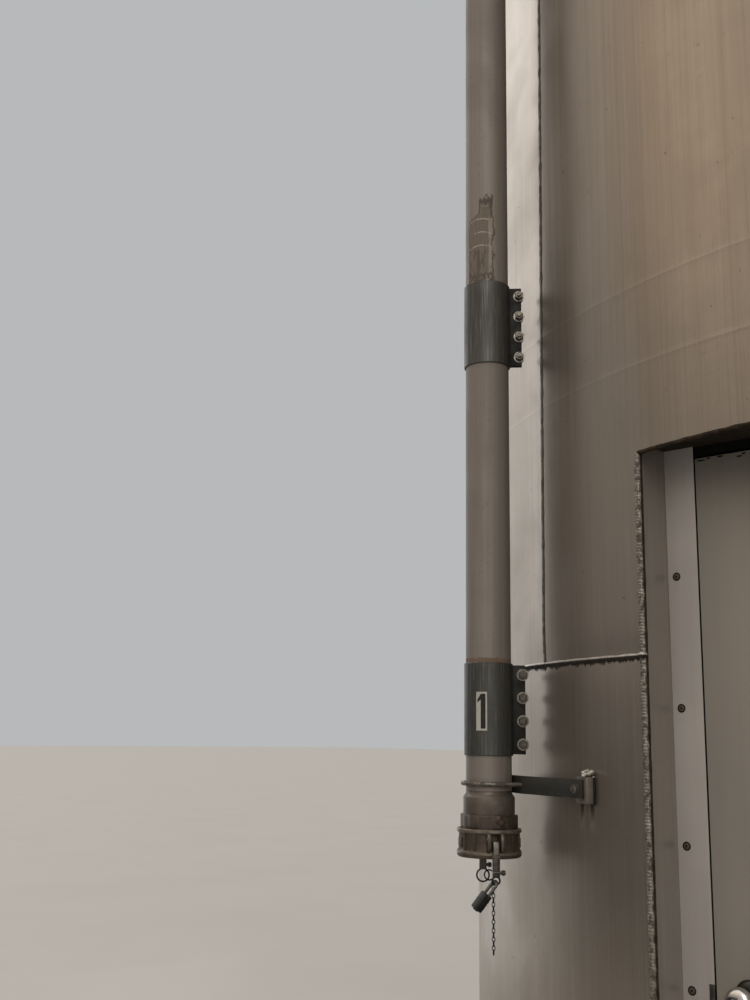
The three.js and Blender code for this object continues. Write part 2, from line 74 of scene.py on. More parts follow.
# The angle of each course's upright weld at its foot, and its lean in degrees of turn per metre
UPRIGHT_WELDS = (
    (22.99, 0.0), (241.52, 0.4), (128.0, -0.1), (305.0, 0.2), (190.0, 0.0), (62.0, 0.1), (221.0, -0.2),
    (340.0, 0.1), (150.0, 0.0), (262.0, -0.1),
)
LEAN_REACH = 6.0
NEAR_COLUMNS = 421
FAR_COLUMNS = 210

# The doorway
DOOR_HALF = 0.535
DOOR_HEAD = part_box("wall_2_over_door")[0].z
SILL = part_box("sill")[1].z
DOOR_EDGE = math.degrees(math.asin(DOOR_HALF / RADIUS))
DOOR_LEFT = 270 - DOOR_EDGE
DOOR_RIGHT = 270 + DOOR_EDGE
DOOR_WELD_ASIDE = 0.0055
FACE_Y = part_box("jamb_left")[0].y
JAMB_WIDTH = 0.066
JAMB_REBATE = 0.018
SCREW_X = -0.516
SCREW_TOP = 2.02
SCREW_STEP = 0.2627
SCREWS = 7
HINGE_HEIGHTS = (0.43, 1.246, 2.062)
HINGE_X = 0.4675
STRIKE_HEIGHT = 1.2285

# The fill pipe, its sleeves and its brackets
FILL_ANGLE = 239.4
FILL_TURN = FILL_ANGLE + 180
FILL_FROM_AXIS = 1.933
FILL_BEND = 0.6
PIPE_RADIUS = 0.0508
SLEEVE_WALL = 0.0038
COUPLING_LENGTH = 0.203
COUPLINGS = (1.757, 2.658, 8.72, 14.76)
EAR_ANGLE = 218
BRACKET_LOW = 1.595
BRACKET_STEP = 2.06
BRACKETS = 9
BAR_TALL = 0.038
LUG_OUT = 0.024
CLIP_LOW = -0.029
CLIP_HIGH = 0.024
LUG_ANGLE = 247.5

# The hose fitting, its cap and what hangs from it
HOSE_NUT_TOP = 1.53
HOSE_SHOULDER = 1.5665
HOSE_BOSS_ANGLE = 330
CAP_ARMS_ANGLE = 318.5
ARM_OUT = 0.078
CAP_BASE, CAP_TOP = (corner.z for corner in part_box("dust_cap"))
CAP_SLOT = 8.2
RING_TOP = CAP_BASE - 0.034
BACK_RING = 0.014
FRONT_RING = 0.008
SHACKLE_BEND = 0.0095
SHACKLE_LEG = 0.03
SHACKLE_WIRE = 0.0033
LINK_PITCH = 0.0087

# The number plate's left and right angle and its lower and upper edge
PLATE_ANGLES = (278.4, 304.5)
PLATE_HEIGHTS = (1.7095, 1.7935)

# The vent pipe
VENT_ANGLE = 150
VENT_FROM_AXIS = 1.96
VENT_BEND = 0.3
VENT_RADIUS = 0.076
VENT_EAR_ANGLE = 60
VENT_COUPLINGS = (1.48, 5.06, 11.1)
VENT_BRACKETS = (1.86, 3.92, 5.98, 8.04, 10.1, 12.16, 14.22, 16.28)
VENT_LUG_ANGLE = 158.5

PORTS = {"port_low": 4.63, "port_high": 9.26}
PORT_ANGLE = 264
PORT_OUT = 0.0325

# The camera, in the same frame, and the photograph's size
EYE = Vector((0.634, -1.983, 1.694))
LOOK = (-0.691, 0.723)
PITCH = 0.203
ROLL = 0.016
FOCAL_PIXELS = 1146.56
PHOTO_HEIGHT = 1000
SENSOR = 36.0


# Places

def moved(x, y, z):
    return Matrix.Translation((x, y, z))


def spun(degrees, axis="Z"):
    return Matrix.Rotation(math.radians(degrees), 4, axis)


def at(angle, distance, height=0.0):
    """A point round the silo's axis, by an angle in degrees from +X."""
    turn = math.radians(angle)
    return Vector((distance * math.cos(turn), AXIS_Y + distance * math.sin(turn), height))


def beside(angle, distance, height=0.0):
    """A place beside the shell, its +X pointing at the silo's axis."""
    return Matrix.Translation(at(angle, distance, height)) @ spun(angle + 180)


def turned_to(direction, place=(0, 0, 0)):
    """A place whose +Z points in a direction."""
    return Matrix.Translation(place) @ Vector(direction).to_track_quat("Z", "Y").to_matrix().to_4x4()


def lug_of(angle, distance, lug_angle):
    """The far end of a bracket's bar, in the plan of the place beside the shell."""
    outside = RADIUS + LUG_OUT
    around = math.radians(angle - lug_angle)
    return Vector((distance - outside * math.cos(around), outside * math.sin(around)))


AXIS = moved(0, AXIS_Y, 0)
FILL = beside(FILL_ANGLE, FILL_FROM_AXIS)
VENT = beside(VENT_ANGLE, VENT_FROM_AXIS)
CAP = FILL @ spun(CAP_ARMS_ANGLE - FILL_TURN)

# The two lower corners of the lowest clip, where dirt runs down the shell from each clip
FILL_LUG = lug_of(FILL_ANGLE, FILL_FROM_AXIS, LUG_ANGLE)
CLIP_CORNERS = [
    FILL @ Vector((FILL_FROM_AXIS - math.sqrt(RADIUS ** 2 - side ** 2), side, BRACKET_LOW + CLIP_LOW))
    for side in (FILL_LUG.y + 0.0035, FILL_LUG.y + 0.04)
]

# The torn wrapping on the pipe above the second sleeve: its middle, and the way to its right side
TAPE_ANGLE = math.radians(289.5)
TAPE_RIGHT = Vector((-math.sin(TAPE_ANGLE), math.cos(TAPE_ANGLE), 0))
TAPE_MIDDLE = FILL.translation + PIPE_RADIUS * Vector((math.cos(TAPE_ANGLE), math.sin(TAPE_ANGLE), 0))
TAPE_HEIGHT = 2.868
RUST_HEIGHT = COUPLINGS[0] + COUPLING_LENGTH / 2 + 0.005


# Shapes

def new_since(bm, before):
    return [vert for vert in bm.verts if vert not in before]


def in_order(items):
    """Each item once, in the order in which they come."""
    return list(dict.fromkeys(items))


def soften(bm, verts, offset):
    """Rounds the sharp edges of a new shape."""
    sharp = 0.6
    edges = in_order(edge for vert in verts for edge in vert.link_edges if edge.calc_face_angle(0) > sharp)
    bmesh.ops.bevel(
        bm, geom=edges, offset=offset, segments=2, affect="EDGES", profile=0.5, material=-1,
        clamp_overlap=True,
    )


def rod(bm, low, high, radius, sides=32, top=None, where=Matrix()):
    """A straight rod, or a cone with another top radius, along Z between two heights."""
    middle = where @ moved(0, 0, (low + high) / 2)
    made = bmesh.ops.create_cone(
        bm, cap_ends=True, cap_tris=False, segments=sides, radius1=radius,
        radius2=radius if top is None else top, depth=high - low, matrix=middle,
    )
    return made["verts"]


def block(bm, size, centre, bevel=0.0, where=Matrix()):
    made = bmesh.ops.create_cube(bm, size=1, matrix=where @ moved(*centre) @ Matrix.Diagonal((*size, 1)))
    if bevel:
        soften(bm, made["verts"], bevel)


def spin(bm, section, sweep, steps):
    """Sweeps a section about Z, closed on itself after a full turn."""
    full = sweep == 360
    bmesh.ops.spin(
        bm, geom=section, cent=(0, 0, 0), axis=(0, 0, 1), dvec=(0, 0, 0), angle=math.radians(sweep),
        steps=steps, use_merge=full, use_normal_flip=False, use_duplicate=False,
    )
    return full


def turned(bm, outline, steps=96, where=Matrix(), start=0.0, sweep=360, closed=True):
    """An outline of (radius, height) points, spun about Z."""
    before = set(bm.verts)
    first = math.radians(start)
    verts = [bm.verts.new((r * math.cos(first), r * math.sin(first), z)) for r, z in outline]
    ends = verts[1:] + verts[:1] if closed else verts[1:]
    edges = [bm.edges.new(pair) for pair in zip(verts, ends)]
    full = spin(bm, verts + edges, sweep, steps)
    made = new_since(bm, before)
    if full:
        bmesh.ops.remove_doubles(bm, verts=made, dist=1e-6)
        made = new_since(bm, before)
    elif closed:
        rims = [edge for edge in bm.edges if edge.is_boundary and edge.verts[0] not in before]
        bmesh.ops.holes_fill(bm, edges=rims, sides=0)
    bmesh.ops.transform(bm, matrix=where, verts=made)


def bow(bm, radius, wire, sweep=360, sides=10, steps=28, where=Matrix()):
    """A round wire bent about Z, from the +X side on."""
    before = set(bm.verts)
    made = bmesh.ops.create_circle(
        bm, cap_ends=sweep != 360, segments=sides, radius=wire, matrix=moved(radius, 0, 0) @ spun(90, "X"),
    )
    section = made["verts"]
    edges = in_order(edge for vert in section for edge in vert.link_edges)
    faces = in_order(face for vert in section for face in vert.link_faces)
    spin(bm, section + edges + faces, sweep, steps)
    bmesh.ops.transform(bm, matrix=where, verts=new_since(bm, before))


def pulled(bm, corners, way, bevel, where):
    """A flat outline pulled along a way into a solid with rounded edges."""
    before = set(bm.verts)
    face = bm.faces.new([bm.verts.new(corner) for corner in corners])
    made = bmesh.ops.extrude_face_region(bm, geom=[face])["geom"]
    ends = [item for item in made if isinstance(item, bmesh.types.BMVert)]
    bmesh.ops.translate(bm, vec=way, verts=ends)
    soften(bm, new_since(bm, before), bevel)
    bmesh.ops.transform(bm, matrix=where, verts=new_since(bm, before))


def upright(bm, corners, low, high, bevel, where=Matrix()):
    """A plan outline of (x, y) corners pulled up from one height to another."""
    pulled(bm, [(x, y, low) for x, y in corners], (0, 0, high - low), bevel, where)


def nut(bm, across, height, where, end=0.0):
    """A hexagon nut or bolt head standing on a face, with its chamfered corners and the bolt's end."""
    corner = across / math.sqrt(3)
    rod(bm, 0, height * 0.8, corner, sides=6, where=where)
    rod(bm, height * 0.8, height, corner, sides=6, top=corner * 0.86, where=where)
    if end:
        rod(bm, height * 0.9, height + end, across * 0.3, sides=16, top=across * 0.26, where=where)


def bolt(bm, rings, across, grip, where):
    """A bolt through a grip along +Z: head and washer below, washer, nut and thread end above."""
    rod(rings, -0.0015, 0, across * 0.62, sides=24, where=where)
    nut(bm, across, across * 0.4, where @ moved(0, 0, -0.0015) @ spun(180, "X"))
    rod(bm, 0, grip, across * 0.3, sides=16, where=where)
    rod(rings, grip, grip + 0.0022, across * 0.74, sides=24, where=where)
    nut(bm, across, across * 0.62, where @ moved(0, 0, grip + 0.0022), end=0.006)


def weld_lumps(bm, points, size, seed):
    """A short hand-made weld: flattened lumps that run into each other."""
    for index, point in enumerate(points):
        stretch = 1 + 0.35 * noise.noise(Vector((seed, index * 1.7, 0.3)))
        place = Matrix.Translation(point) @ Matrix.Diagonal((stretch, 1.0, 0.75 * stretch, 1))
        bmesh.ops.create_icosphere(bm, subdivisions=2, radius=size, matrix=place)


def bead(bm, count, across, place, lift, width, seed=0.0, ribbed=0.2):
    """A weld bead: a grid rolled over into a ribbed half-round, set down by place(along, side, height)."""
    sunk = 0.0006
    made = bmesh.ops.create_grid(bm, x_segments=count, y_segments=across, size=0.5)["verts"]
    for vert in made:
        along = vert.co.x + 0.5
        side = vert.co.y * 2
        rib = 1 + ribbed * math.cos(math.tau * (along * count / 3 + 0.35 * side * side))
        wander = noise.noise(Vector((along * count / 9, seed, 0)))
        height = lift * math.sqrt(max(0.0, 1 - side * side)) * rib * (1 + 0.35 * wander) - sunk
        vert.co = place(along, side * width / 2 * (1 + 0.3 * wander), height)


def placed(name, bm, material):
    """The finished mesh as an object of the scene."""
    mesh = bpy.data.meshes.new(name)
    bm.to_mesh(mesh)
    bm.free()
    mesh.materials.append(material)
    made = bpy.data.objects.new(name, mesh)
    bpy.context.scene.collection.objects.link(made)
    return made


def piece(name, bm, material, replaces=(), body="silo", sharp=32, outward=True):
    """A piece of the silo, which rides on a body."""
    if outward:
        bmesh.ops.recalc_face_normals(bm, faces=bm.faces[:])
    made = placed(name, bm, material)
    mesh = made.data
    mesh.polygons.foreach_set("use_smooth", [True] * len(mesh.polygons))
    mesh.set_sharp_from_angle(angle=math.radians(sharp))
    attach(made, body)
    if replaces:
        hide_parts(*replaces)


# Node trees

class Value:
    """An output in a node tree. Arithmetic on it adds Math nodes."""

    def __init__(self, tree, socket):
        self.tree = tree
        self.socket = socket

    def __add__(self, other):
        return calculated(self.tree, "ADD", self, other)

    def __sub__(self, other):
        return calculated(self.tree, "SUBTRACT", self, other)

    def __rsub__(self, other):
        return calculated(self.tree, "SUBTRACT", other, self)

    def __mul__(self, other):
        return calculated(self.tree, "MULTIPLY", self, other)

    def __truediv__(self, other):
        return calculated(self.tree, "DIVIDE", self, other)

    def __abs__(self):
        return calculated(self.tree, "ABSOLUTE", self)

    def fraction(self):
        return calculated(self.tree, "FRACT", self)

    def or_more(self, other):
        return calculated(self.tree, "MAXIMUM", self, other)

    def ramp(self, low, high):
        """A mask from 0 at low to 1 at high."""
        node = self.tree.nodes.new("ShaderNodeMapRange")
        node.interpolation_type = "SMOOTHSTEP"
        put(self.tree, node.inputs["Value"], self)
        put(self.tree, node.inputs["From Min"], low)
        put(self.tree, node.inputs["From Max"], high)
        return Value(self.tree, node.outputs["Result"])


def put(tree, socket, value):
    """Gives a socket a number, a colour or the output of another node."""
    if isinstance(value, Value):
        tree.links.new(value.socket, socket)
    elif isinstance(value, bpy.types.NodeSocket):
        tree.links.new(value, socket)
    else:
        socket.default_value = value


def calculated(tree, operation, *values):
    """One Math node on numbers or values."""
    node = tree.nodes.new("ShaderNodeMath")
    node.operation = operation
    for socket, value in zip(node.inputs, values):
        put(tree, socket, value)
    return Value(tree, node.outputs[0])


def split(tree, vector):
    """The X, Y and Z of a vector."""
    node = tree.nodes.new("ShaderNodeSeparateXYZ")
    tree.links.new(vector, node.inputs[0])
    return [Value(tree, output) for output in node.outputs]


def mixed(tree, factor, low, high):
    """A colour laid over another by a factor."""
    node = tree.nodes.new("ShaderNodeMix")
    node.data_type = "RGBA"
    put(tree, node.inputs["Factor"], factor)
    put(tree, node.inputs[6], low)
    put(tree, node.inputs[7], high)
    return node.outputs[2]


class Effect:
    """A shader node group with named inputs and one output."""

    def __init__(self, name, output, **inputs):
        self.tree = bpy.data.node_groups.new(name, "ShaderNodeTree")
        new_socket = self.tree.interface.new_socket
        for label, value in inputs.items():
            new_socket(name=label, in_out="INPUT", socket_type="NodeSocketFloat").default_value = value
        new_socket(name=output, in_out="OUTPUT", socket_type="NodeSocketFloat")
        self.entry = self.tree.nodes.new("NodeGroupInput").outputs
        self.exit = self.tree.nodes.new("NodeGroupOutput").inputs[0]
        self.place = self.tree.nodes.new("ShaderNodeTexCoord").outputs["Object"]

    def __getitem__(self, label):
        return Value(self.tree, self.entry[label])

    def split(self):
        return split(self.tree, self.place)

    def distance(self):
        """The level distance from the place given by the inputs X and Y, as a share of the input Wide."""
        x, y, _ = self.split()
        flat = calculated(self.tree, "POWER", x - self["X"], 2.0)
        deep = calculated(self.tree, "POWER", y - self["Y"], 2.0)
        return calculated(self.tree, "SQRT", flat + deep) / self["Wide"]

    def stretched(self, across, down):
        """Object coordinates, scaled across and down the piece."""
        scale = self.tree.nodes.new("ShaderNodeCombineXYZ")
        for socket, value in zip(scale.inputs, (across, across, down)):
            put(self.tree, socket, value)
        node = self.tree.nodes.new("ShaderNodeVectorMath")
        node.operation = "MULTIPLY"
        self.tree.links.new(self.place, node.inputs[0])
        self.tree.links.new(scale.outputs[0], node.inputs[1])
        return node.outputs[0]

    def cloud(self, across, down, detail=4.0, rough=0.55, distort=0.0):
        """Noise, scaled across and down the piece."""
        node = self.tree.nodes.new("ShaderNodeTexNoise")
        self.tree.links.new(self.stretched(across, down), node.inputs["Vector"])
        settings = {"Scale": 1.0, "Detail": detail, "Roughness": rough, "Distortion": distort}
        for label, value in settings.items():
            node.inputs[label].default_value = value
        return Value(self.tree, node.outputs["Fac"])

    def done(self, value):
        put(self.tree, self.exit, value)
        return self.tree


# Surface effects, each one node group

def streaks_effect():
    """Rain streaks that run down the piece."""
    made = Effect("rain streaks", "Mask", Across=8.0, Down=0.4, Low=0.4, High=0.65)
    return made.done(made.cloud(made["Across"], made["Down"], 5, 0.6).ramp(made["Low"], made["High"]))


def blotches_effect():
    """Cloudy patches."""
    made = Effect("blotches", "Mask", Size=1.0, Low=0.4, High=0.7)
    return made.done(made.cloud(made["Size"], made["Size"], 6, 0.55, 0.3).ramp(made["Low"], made["High"]))


def grain_effect():
    """Fine height of rolled or drawn metal, its grain running down."""
    made = Effect("rolled grain", "Height", Across=300.0, Down=4.0)
    return made.done(made.cloud(made["Across"], made["Down"], 3, 0.7))


def skin_effect():
    """Height of a sand-cast or brushed-on skin."""
    made = Effect("cast skin", "Height", Size=400.0)
    return made.done(made.cloud(made["Size"], made["Size"], 4, 0.6))


def level_grime_and_shade_effect():
    """Darkening under level welds, one to each course: a ragged fringe of dirt, and painted shade close under
    the weld.
    """
    made = Effect("weld grime and painted shade", "Mask", First=1.857, Course=1.84, Reach=0.03, Raggedness=14.0)
    height = made.split()[2]
    courses = (height - made["First"]) / made["Course"]
    below = (1.0 - courses.fraction()) * made["Course"]
    ragged = made.cloud(made["Raggedness"], 4.0, 7, 0.8).ramp(0.32, 0.72)
    reach = made["Reach"] * (ragged * 0.75 + 0.25)
    fringe = 1.0 - below.ramp(reach * 0.75, reach)
    broken = made.cloud(230.0, 230.0, 3, 0.6).ramp(0.34, 0.5)
    # Painted shade: always dark just under the weld
    near = 1.0 - below.ramp(0.0065, 0.01)
    return made.done(fringe * broken.or_more(near))


def drips_effect():
    """Narrow stains that run down from places one above the other."""
    made = Effect("drips", "Mask", X=0.0, Y=0.0, Wide=0.006, First=1.0, Step=2.06, Long=0.06)
    height = made.split()[2]
    steps = (height - made["First"]) / made["Step"]
    down = (1.0 - steps.fraction()) * made["Step"] / made["Long"]
    ragged = made.cloud(160.0, 14.0, 4, 0.7) * 1.4 - 0.7
    narrow = 1.0 - (made.distance() + ragged).ramp(0.45, 1.0)
    short = 1.0 - (down + ragged).ramp(0.3, 1.1)
    return made.done(narrow * short)


def level_line_effect():
    """A thin level line, broken here and there."""
    made = Effect("level line", "Mask", Z=1.0, Half=0.002)
    off = abs(made.split()[2] - made["Z"])
    wander = made.cloud(9.0, 9.0, 3, 0.6) * 0.9 + 0.55
    return made.done(1.0 - (off / (made["Half"] * wander)).ramp(0.4, 1.0))


def torn_tape_effect():
    """What is left of a torn wrapping on a pipe: 0 bare, 0.5 its brown edge and scratches, 1 its pale face.

    Rightward and Backward are the X and Y of the level way to its right side.
    """
    made = Effect(
        "torn wrapping", "Value", X=0.0, Y=0.0, Z=0.0, Rightward=1.0, Backward=0.0, Wide=0.04, Tall=0.1,
    )
    x, y, z = made.split()
    across = (y - made["Y"]) * made["Backward"] + (x - made["X"]) * made["Rightward"]
    up = z - made["Z"]
    torn = made.cloud(48.0, 30.0, 7, 0.75) - 0.5

    # The outline narrows to its right half above a step
    high = up.ramp(0.05, 0.068)
    share = across / made["Wide"]
    side = abs(high * -0.45 + share) / (high * -0.5 + 1.0)
    edge = side.or_more(abs(up) / made["Tall"]) + torn
    inside = 1.0 - edge.ramp(0.96, 1.02)
    face = 1.0 - (high * 0.12 + edge).ramp(0.86, 0.94)

    # Pale creases bow across the upper part, and a pale fold runs down the right side
    fold = share.ramp(0.6, 0.68) * (1.0 - high)
    bowed = calculated(made.tree, "POWER", across, 2.0) * 7.0 + up
    level = abs((bowed / 0.034).fraction() - 0.5)
    upper = up.ramp(-0.035, -0.025)
    creased = (1.0 - level.ramp(0.015, 0.06)) * upper
    pale = (creased * 0.32 * torn.ramp(-0.12, 0.02)).or_more(fold * 0.15)

    # Dark cracks run down, mostly below the creases, and a dark cut crosses the foot
    cracks = made.cloud(130.0, 24.0, 6, 0.8).ramp(0.5, 0.57) * ((1.0 - upper) * 0.75 + 0.25)
    cut = 1.0 - abs(torn * 0.035 + (up + 0.094)).ramp(0.0012, 0.0045)
    dark = cracks.or_more(cut) * 0.34
    return made.done(inside * (face * (pale - dark + 0.22) + 0.5))


def cells_effect():
    """The uneven patches of a galvanised coat."""
    made = Effect("zinc cells", "Value", Size=90.0)
    node = made.tree.nodes.new("ShaderNodeTexVoronoi")
    made.tree.links.new(made.stretched(made["Size"], made["Size"]), node.inputs["Vector"])
    node.inputs["Scale"].default_value = 1.0
    return made.done((Value(made.tree, node.outputs["Color"]) * 1.7).fraction())


def scuffs_effect():
    """Sparse light scuffs."""
    made = Effect("scuffs", "Mask", Across=40.0, Down=9.0, Share=0.68)
    lines = made.cloud(made["Across"], made["Down"], 8, 0.8, 0.6).ramp(made["Share"], made["Share"] + 0.1)
    return made.done(lines * made.cloud(2.3, 1.4, 3, 0.5).ramp(0.5, 0.7))


def zone_effect():
    """A soft-edged round patch in the silo's frame, for marks that sit in one place."""
    made = Effect("marked place", "Mask", X=0.0, Y=0.0, Z=0.0, Wide=0.1, Tall=0.1, Ragged=20.0)
    up = abs(made.split()[2] - made["Z"]) / made["Tall"]
    cloud = made.cloud(made["Ragged"], made["Ragged"], 5, 0.65)
    return made.done(1.0 - (made.distance().or_more(up) + (cloud - 0.5) * 1.6).ramp(0.7, 1.0))


STREAKS = streaks_effect()
BLOTCHES = blotches_effect()
GRAIN = grain_effect()
SKIN = skin_effect()
LEVEL_GRIME_AND_SHADE = level_grime_and_shade_effect()
CELLS = cells_effect()
SCUFFS = scuffs_effect()
ZONE = zone_effect()
DRIPS = drips_effect()
LEVEL_LINE = level_line_effect()
TORN_TAPE = torn_tape_effect()


# Finishes

class Finish:
    """A material built from the effects above on one Principled shader."""

    def __init__(self, name, color, metallic, roughness, shine=None):
        self.material = bpy.data.materials.new(name)
        self.material.use_nodes = True
        self.material.diffuse_color = (*color, 1)
        self.tree = self.material.node_tree
        self.shader = self.tree.nodes["Principled BSDF"]
        self.now = {"Base Color": (*color, 1), "Metallic": metallic, "Roughness": roughness}
        for label, value in self.now.items():
            self.shader.inputs[label].default_value = value
        if shine is not None:
            self.shader.inputs["Specular IOR Level"].default_value = shine
        self.bump = None

    def effect(self, tree, **values):
        node = self.tree.nodes.new("ShaderNodeGroup")
        node.node_tree = tree
        for label, value in values.items():
            node.inputs[label].default_value = value
        return Value(self.tree, node.outputs[0])

    def streaks(self, across, down, low=0.4, high=0.7):
        return self.effect(STREAKS, Across=across, Down=down, Low=low, High=high)

    def blotches(self, size, low=0.4, high=0.7):
        return self.effect(BLOTCHES, Size=size, Low=low, High=high)

    def change(self, label, output):
        """Leads a node's output into the shader."""
        self.now[label] = output
        self.tree.links.new(output, self.shader.inputs[label])
        return self

    def paint(self, mask, color, share=1.0):
        """Lays a colour over what is there where the mask says."""
        under = self.now["Base Color"]
        return self.change("Base Color", mixed(self.tree, mask * share, under, (*color, 1)))

    def shift(self, label, mask, amount):
        """Adds an amount to the roughness or the metal where the mask says."""
        output = calculated(self.tree, "MULTIPLY_ADD", mask, amount, self.now[label]).socket
        output.node.use_clamp = True
        return self.change(label, output)

    def rough(self, mask, amount):
        return self.shift("Roughness", mask, amount)

    def dull(self, mask, amount):
        return self.shift("Metallic", mask, -amount)

    def raise_by(self, height, distance, strength):
        """Adds a bump of a real height, on top of the bumps before it."""
        node = self.tree.nodes.new("ShaderNodeBump")
        node.inputs["Strength"].default_value = strength
        node.inputs["Distance"].default_value = distance
        put(self.tree, node.inputs["Height"], height)
        if self.bump:
            self.tree.links.new(self.bump, node.inputs["Normal"])
        self.bump = node.outputs["Normal"]
        return self.change("Normal", self.bump)


def shaded(color, *shares):
    """A colour times one share, or times one each for its red, green and blue."""
    return tuple(c * share for c, share in zip(color, shares if len(shares) == 3 else shares * 3))


SOOT = (0.005, 0.0035, 0.0025)
DUST = (0.40, 0.36, 0.30)
RUST = (0.11, 0.062, 0.033)


def plate_finish(name="weathered plate", color=(0.32, 0.283, 0.243), metallic=0.84, shell=True, lined=0.24):
    """Mill-finish aluminium plate, stained and scratched, with brown runs down it."""
    made = Finish(name, color, metallic, 0.28, shine=0.12)
    clouds = made.blotches(1.1, 0.38, 0.68)
    mottle = made.blotches(7.0, 0.36)
    specks = made.blotches(60.0, 0.69, 0.74)
    scuffs = made.effect(SCUFFS)
    made.paint(clouds, shaded(color, 0.8), 0.6)
    made.paint(mottle, shaded(color, 0.84), 0.5)
    made.paint(made.streaks(11.0, 0.5, 0.38, 0.68), shaded(color, 0.78, 0.73, 0.69), 0.4)
    made.paint(made.blotches(38.0, 0.4, 0.68), shaded(color, 0.86), 0.4)
    made.paint(made.streaks(150.0, 0.7, 0.5, 0.66), shaded(color, 0.6, 0.52, 0.43), lined)
    made.paint(made.streaks(75.0, 1.6, 0.48, 0.72), shaded(color, 1.18), 0.3)
    made.paint(made.streaks(420.0, 1.6, 0.46, 0.7), shaded(color, 0.72, 0.66, 0.57), 0.35)
    made.paint(scuffs, DUST, 0.3)
    made.paint(specks, (0.12, 0.095, 0.072), 0.7)
    made.rough(clouds, 0.08).rough(mottle, 0.06).rough(scuffs, 0.15).rough(specks, 0.2)
    if shell:
        stain_shell(made)
    made.raise_by(made.effect(GRAIN), 0.0001, 0.5)
    made.raise_by(made.blotches(2.6, 0.2, 0.8), 0.001, 0.5)
    return made.material


def stain_shell(made):
    """Pale lines at the hopper welds, painted highlight along their faint ridges; the stains below each clip;
    and under each level weld, dirt and painted shade.
    """
    # Painted highlight: a pale line along each hopper weld's ridge
    for weld in HOPPER_WELDS:
        made.paint(made.effect(LEVEL_LINE, Z=weld, Half=0.0026), (0.43, 0.395, 0.35), 0.24)
    for spot in CLIP_CORNERS:
        stain = made.effect(
            DRIPS, X=spot.x, Y=spot.y, Wide=0.0095, First=spot.z + 0.004, Step=BRACKET_STEP, Long=0.06,
        )
        made.paint(stain, SOOT, 0.9).rough(stain, 0.3).dull(stain, 0.8)
    # Dirt and painted shade under each level weld
    grime_shade_mask = made.effect(LEVEL_GRIME_AND_SHADE, First=FIRST_SEAM - 0.002, Course=COURSE, Reach=0.018, Raggedness=55.0)
    made.paint(grime_shade_mask, SOOT, 0.97).rough(grime_shade_mask, 0.4).dull(grime_shade_mask, 0.84)


def pipe_finish():
    """Drawn aluminium pipe, stained, with torn wrapping and rust above the lowest coupling."""
    made = Finish("drawn pipe", (0.185, 0.165, 0.146), 0.35, 0.56)
    clouds = made.blotches(5.0)
    made.paint(made.streaks(45.0, 0.9, 0.4, 0.66), (0.15, 0.128, 0.11), 0.5)
    made.paint(made.streaks(160.0, 2.5), (0.235, 0.215, 0.195), 0.35)
    made.paint(clouds, (0.155, 0.134, 0.118), 0.45)
    made.paint(made.blotches(150.0, 0.62, 0.68), (0.1, 0.083, 0.068), 0.5)
    wrapped = made.effect(
        TORN_TAPE, X=TAPE_MIDDLE.x, Y=TAPE_MIDDLE.y, Z=TAPE_HEIGHT, Wide=0.031, Tall=0.108,
        Rightward=TAPE_RIGHT.x, Backward=TAPE_RIGHT.y,
    )
    made.paint(wrapped.ramp(0.1, 0.45), (0.05, 0.037, 0.027), 0.85)
    made.paint(wrapped.ramp(0.5, 0.7), (0.135, 0.112, 0.088), 0.95)
    made.paint(wrapped.ramp(0.74, 1.0), (0.34, 0.3, 0.25), 0.95)
    made.rough(wrapped.ramp(0.1, 0.5), 0.25).dull(wrapped.ramp(0.1, 0.5), 0.45)
    pipe = FILL.translation
    rusty = made.effect(ZONE, X=pipe.x, Y=pipe.y, Z=RUST_HEIGHT, Wide=0.2, Tall=0.006, Ragged=70.0)
    made.paint(rusty, RUST, 0.75).rough(rusty, 0.3).dull(rusty, 0.5)
    made.rough(clouds, 0.1)
    made.raise_by(made.effect(GRAIN, Across=500.0, Down=8.0), 0.00008, 0.5)
    made.raise_by(wrapped, 0.0003, 0.6)
    return made.material


def zinc_finish():
    """Galvanised steel, dulled dark, finely scratched down its length."""
    made = Finish("galvanised steel", (0.062, 0.063, 0.06), 0.68, 0.38)
    cells = made.effect(CELLS, Size=140.0)
    scratches = made.streaks(420.0, 9.0, 0.52, 0.68)
    clouds = made.blotches(9.0)
    made.paint(cells, (0.085, 0.088, 0.086), 0.3)
    made.paint(clouds, (0.048, 0.045, 0.04), 0.5)
    made.paint(scratches, (0.2, 0.2, 0.19), 0.5)
    made.rough(cells, 0.06).rough(clouds, 0.12)
    made.raise_by(made.effect(SKIN, Size=700.0), 0.00008, 0.6)
    made.raise_by(scratches, 0.00006, 0.6)
    return made.material


def bright_zinc_finish():
    """Plated bolts and U-bolts, gone dull."""
    made = Finish("plated fasteners", (0.17, 0.158, 0.135), 0.82, 0.34)
    clouds = made.blotches(110.0, 0.36, 0.58)
    made.paint(clouds, (0.04, 0.034, 0.027), 0.8).rough(clouds, 0.25).dull(clouds, 0.3)
    made.raise_by(made.effect(SKIN, Size=900.0), 0.00006, 0.5)
    return made.material


def casting_finish():
    """A sand-cast hose fitting, brown, with dirt in its hollows."""
    made = Finish("dirty casting", (0.072, 0.057, 0.044), 0.62, 0.44, shine=0.3)
    clouds = made.blotches(30.0, 0.38, 0.66)
    made.paint(clouds, (0.034, 0.026, 0.019), 0.7)
    made.paint(made.streaks(120.0, 12.0, 0.45, 0.7), (0.11, 0.09, 0.072), 0.3)
    made.paint(made.blotches(120.0, 0.52, 0.72), (0.15, 0.128, 0.105), 0.3)
    made.rough(clouds, 0.18).dull(clouds, 0.35)
    made.raise_by(made.effect(SKIN, Size=520.0), 0.0003, 0.7)
    return made.material


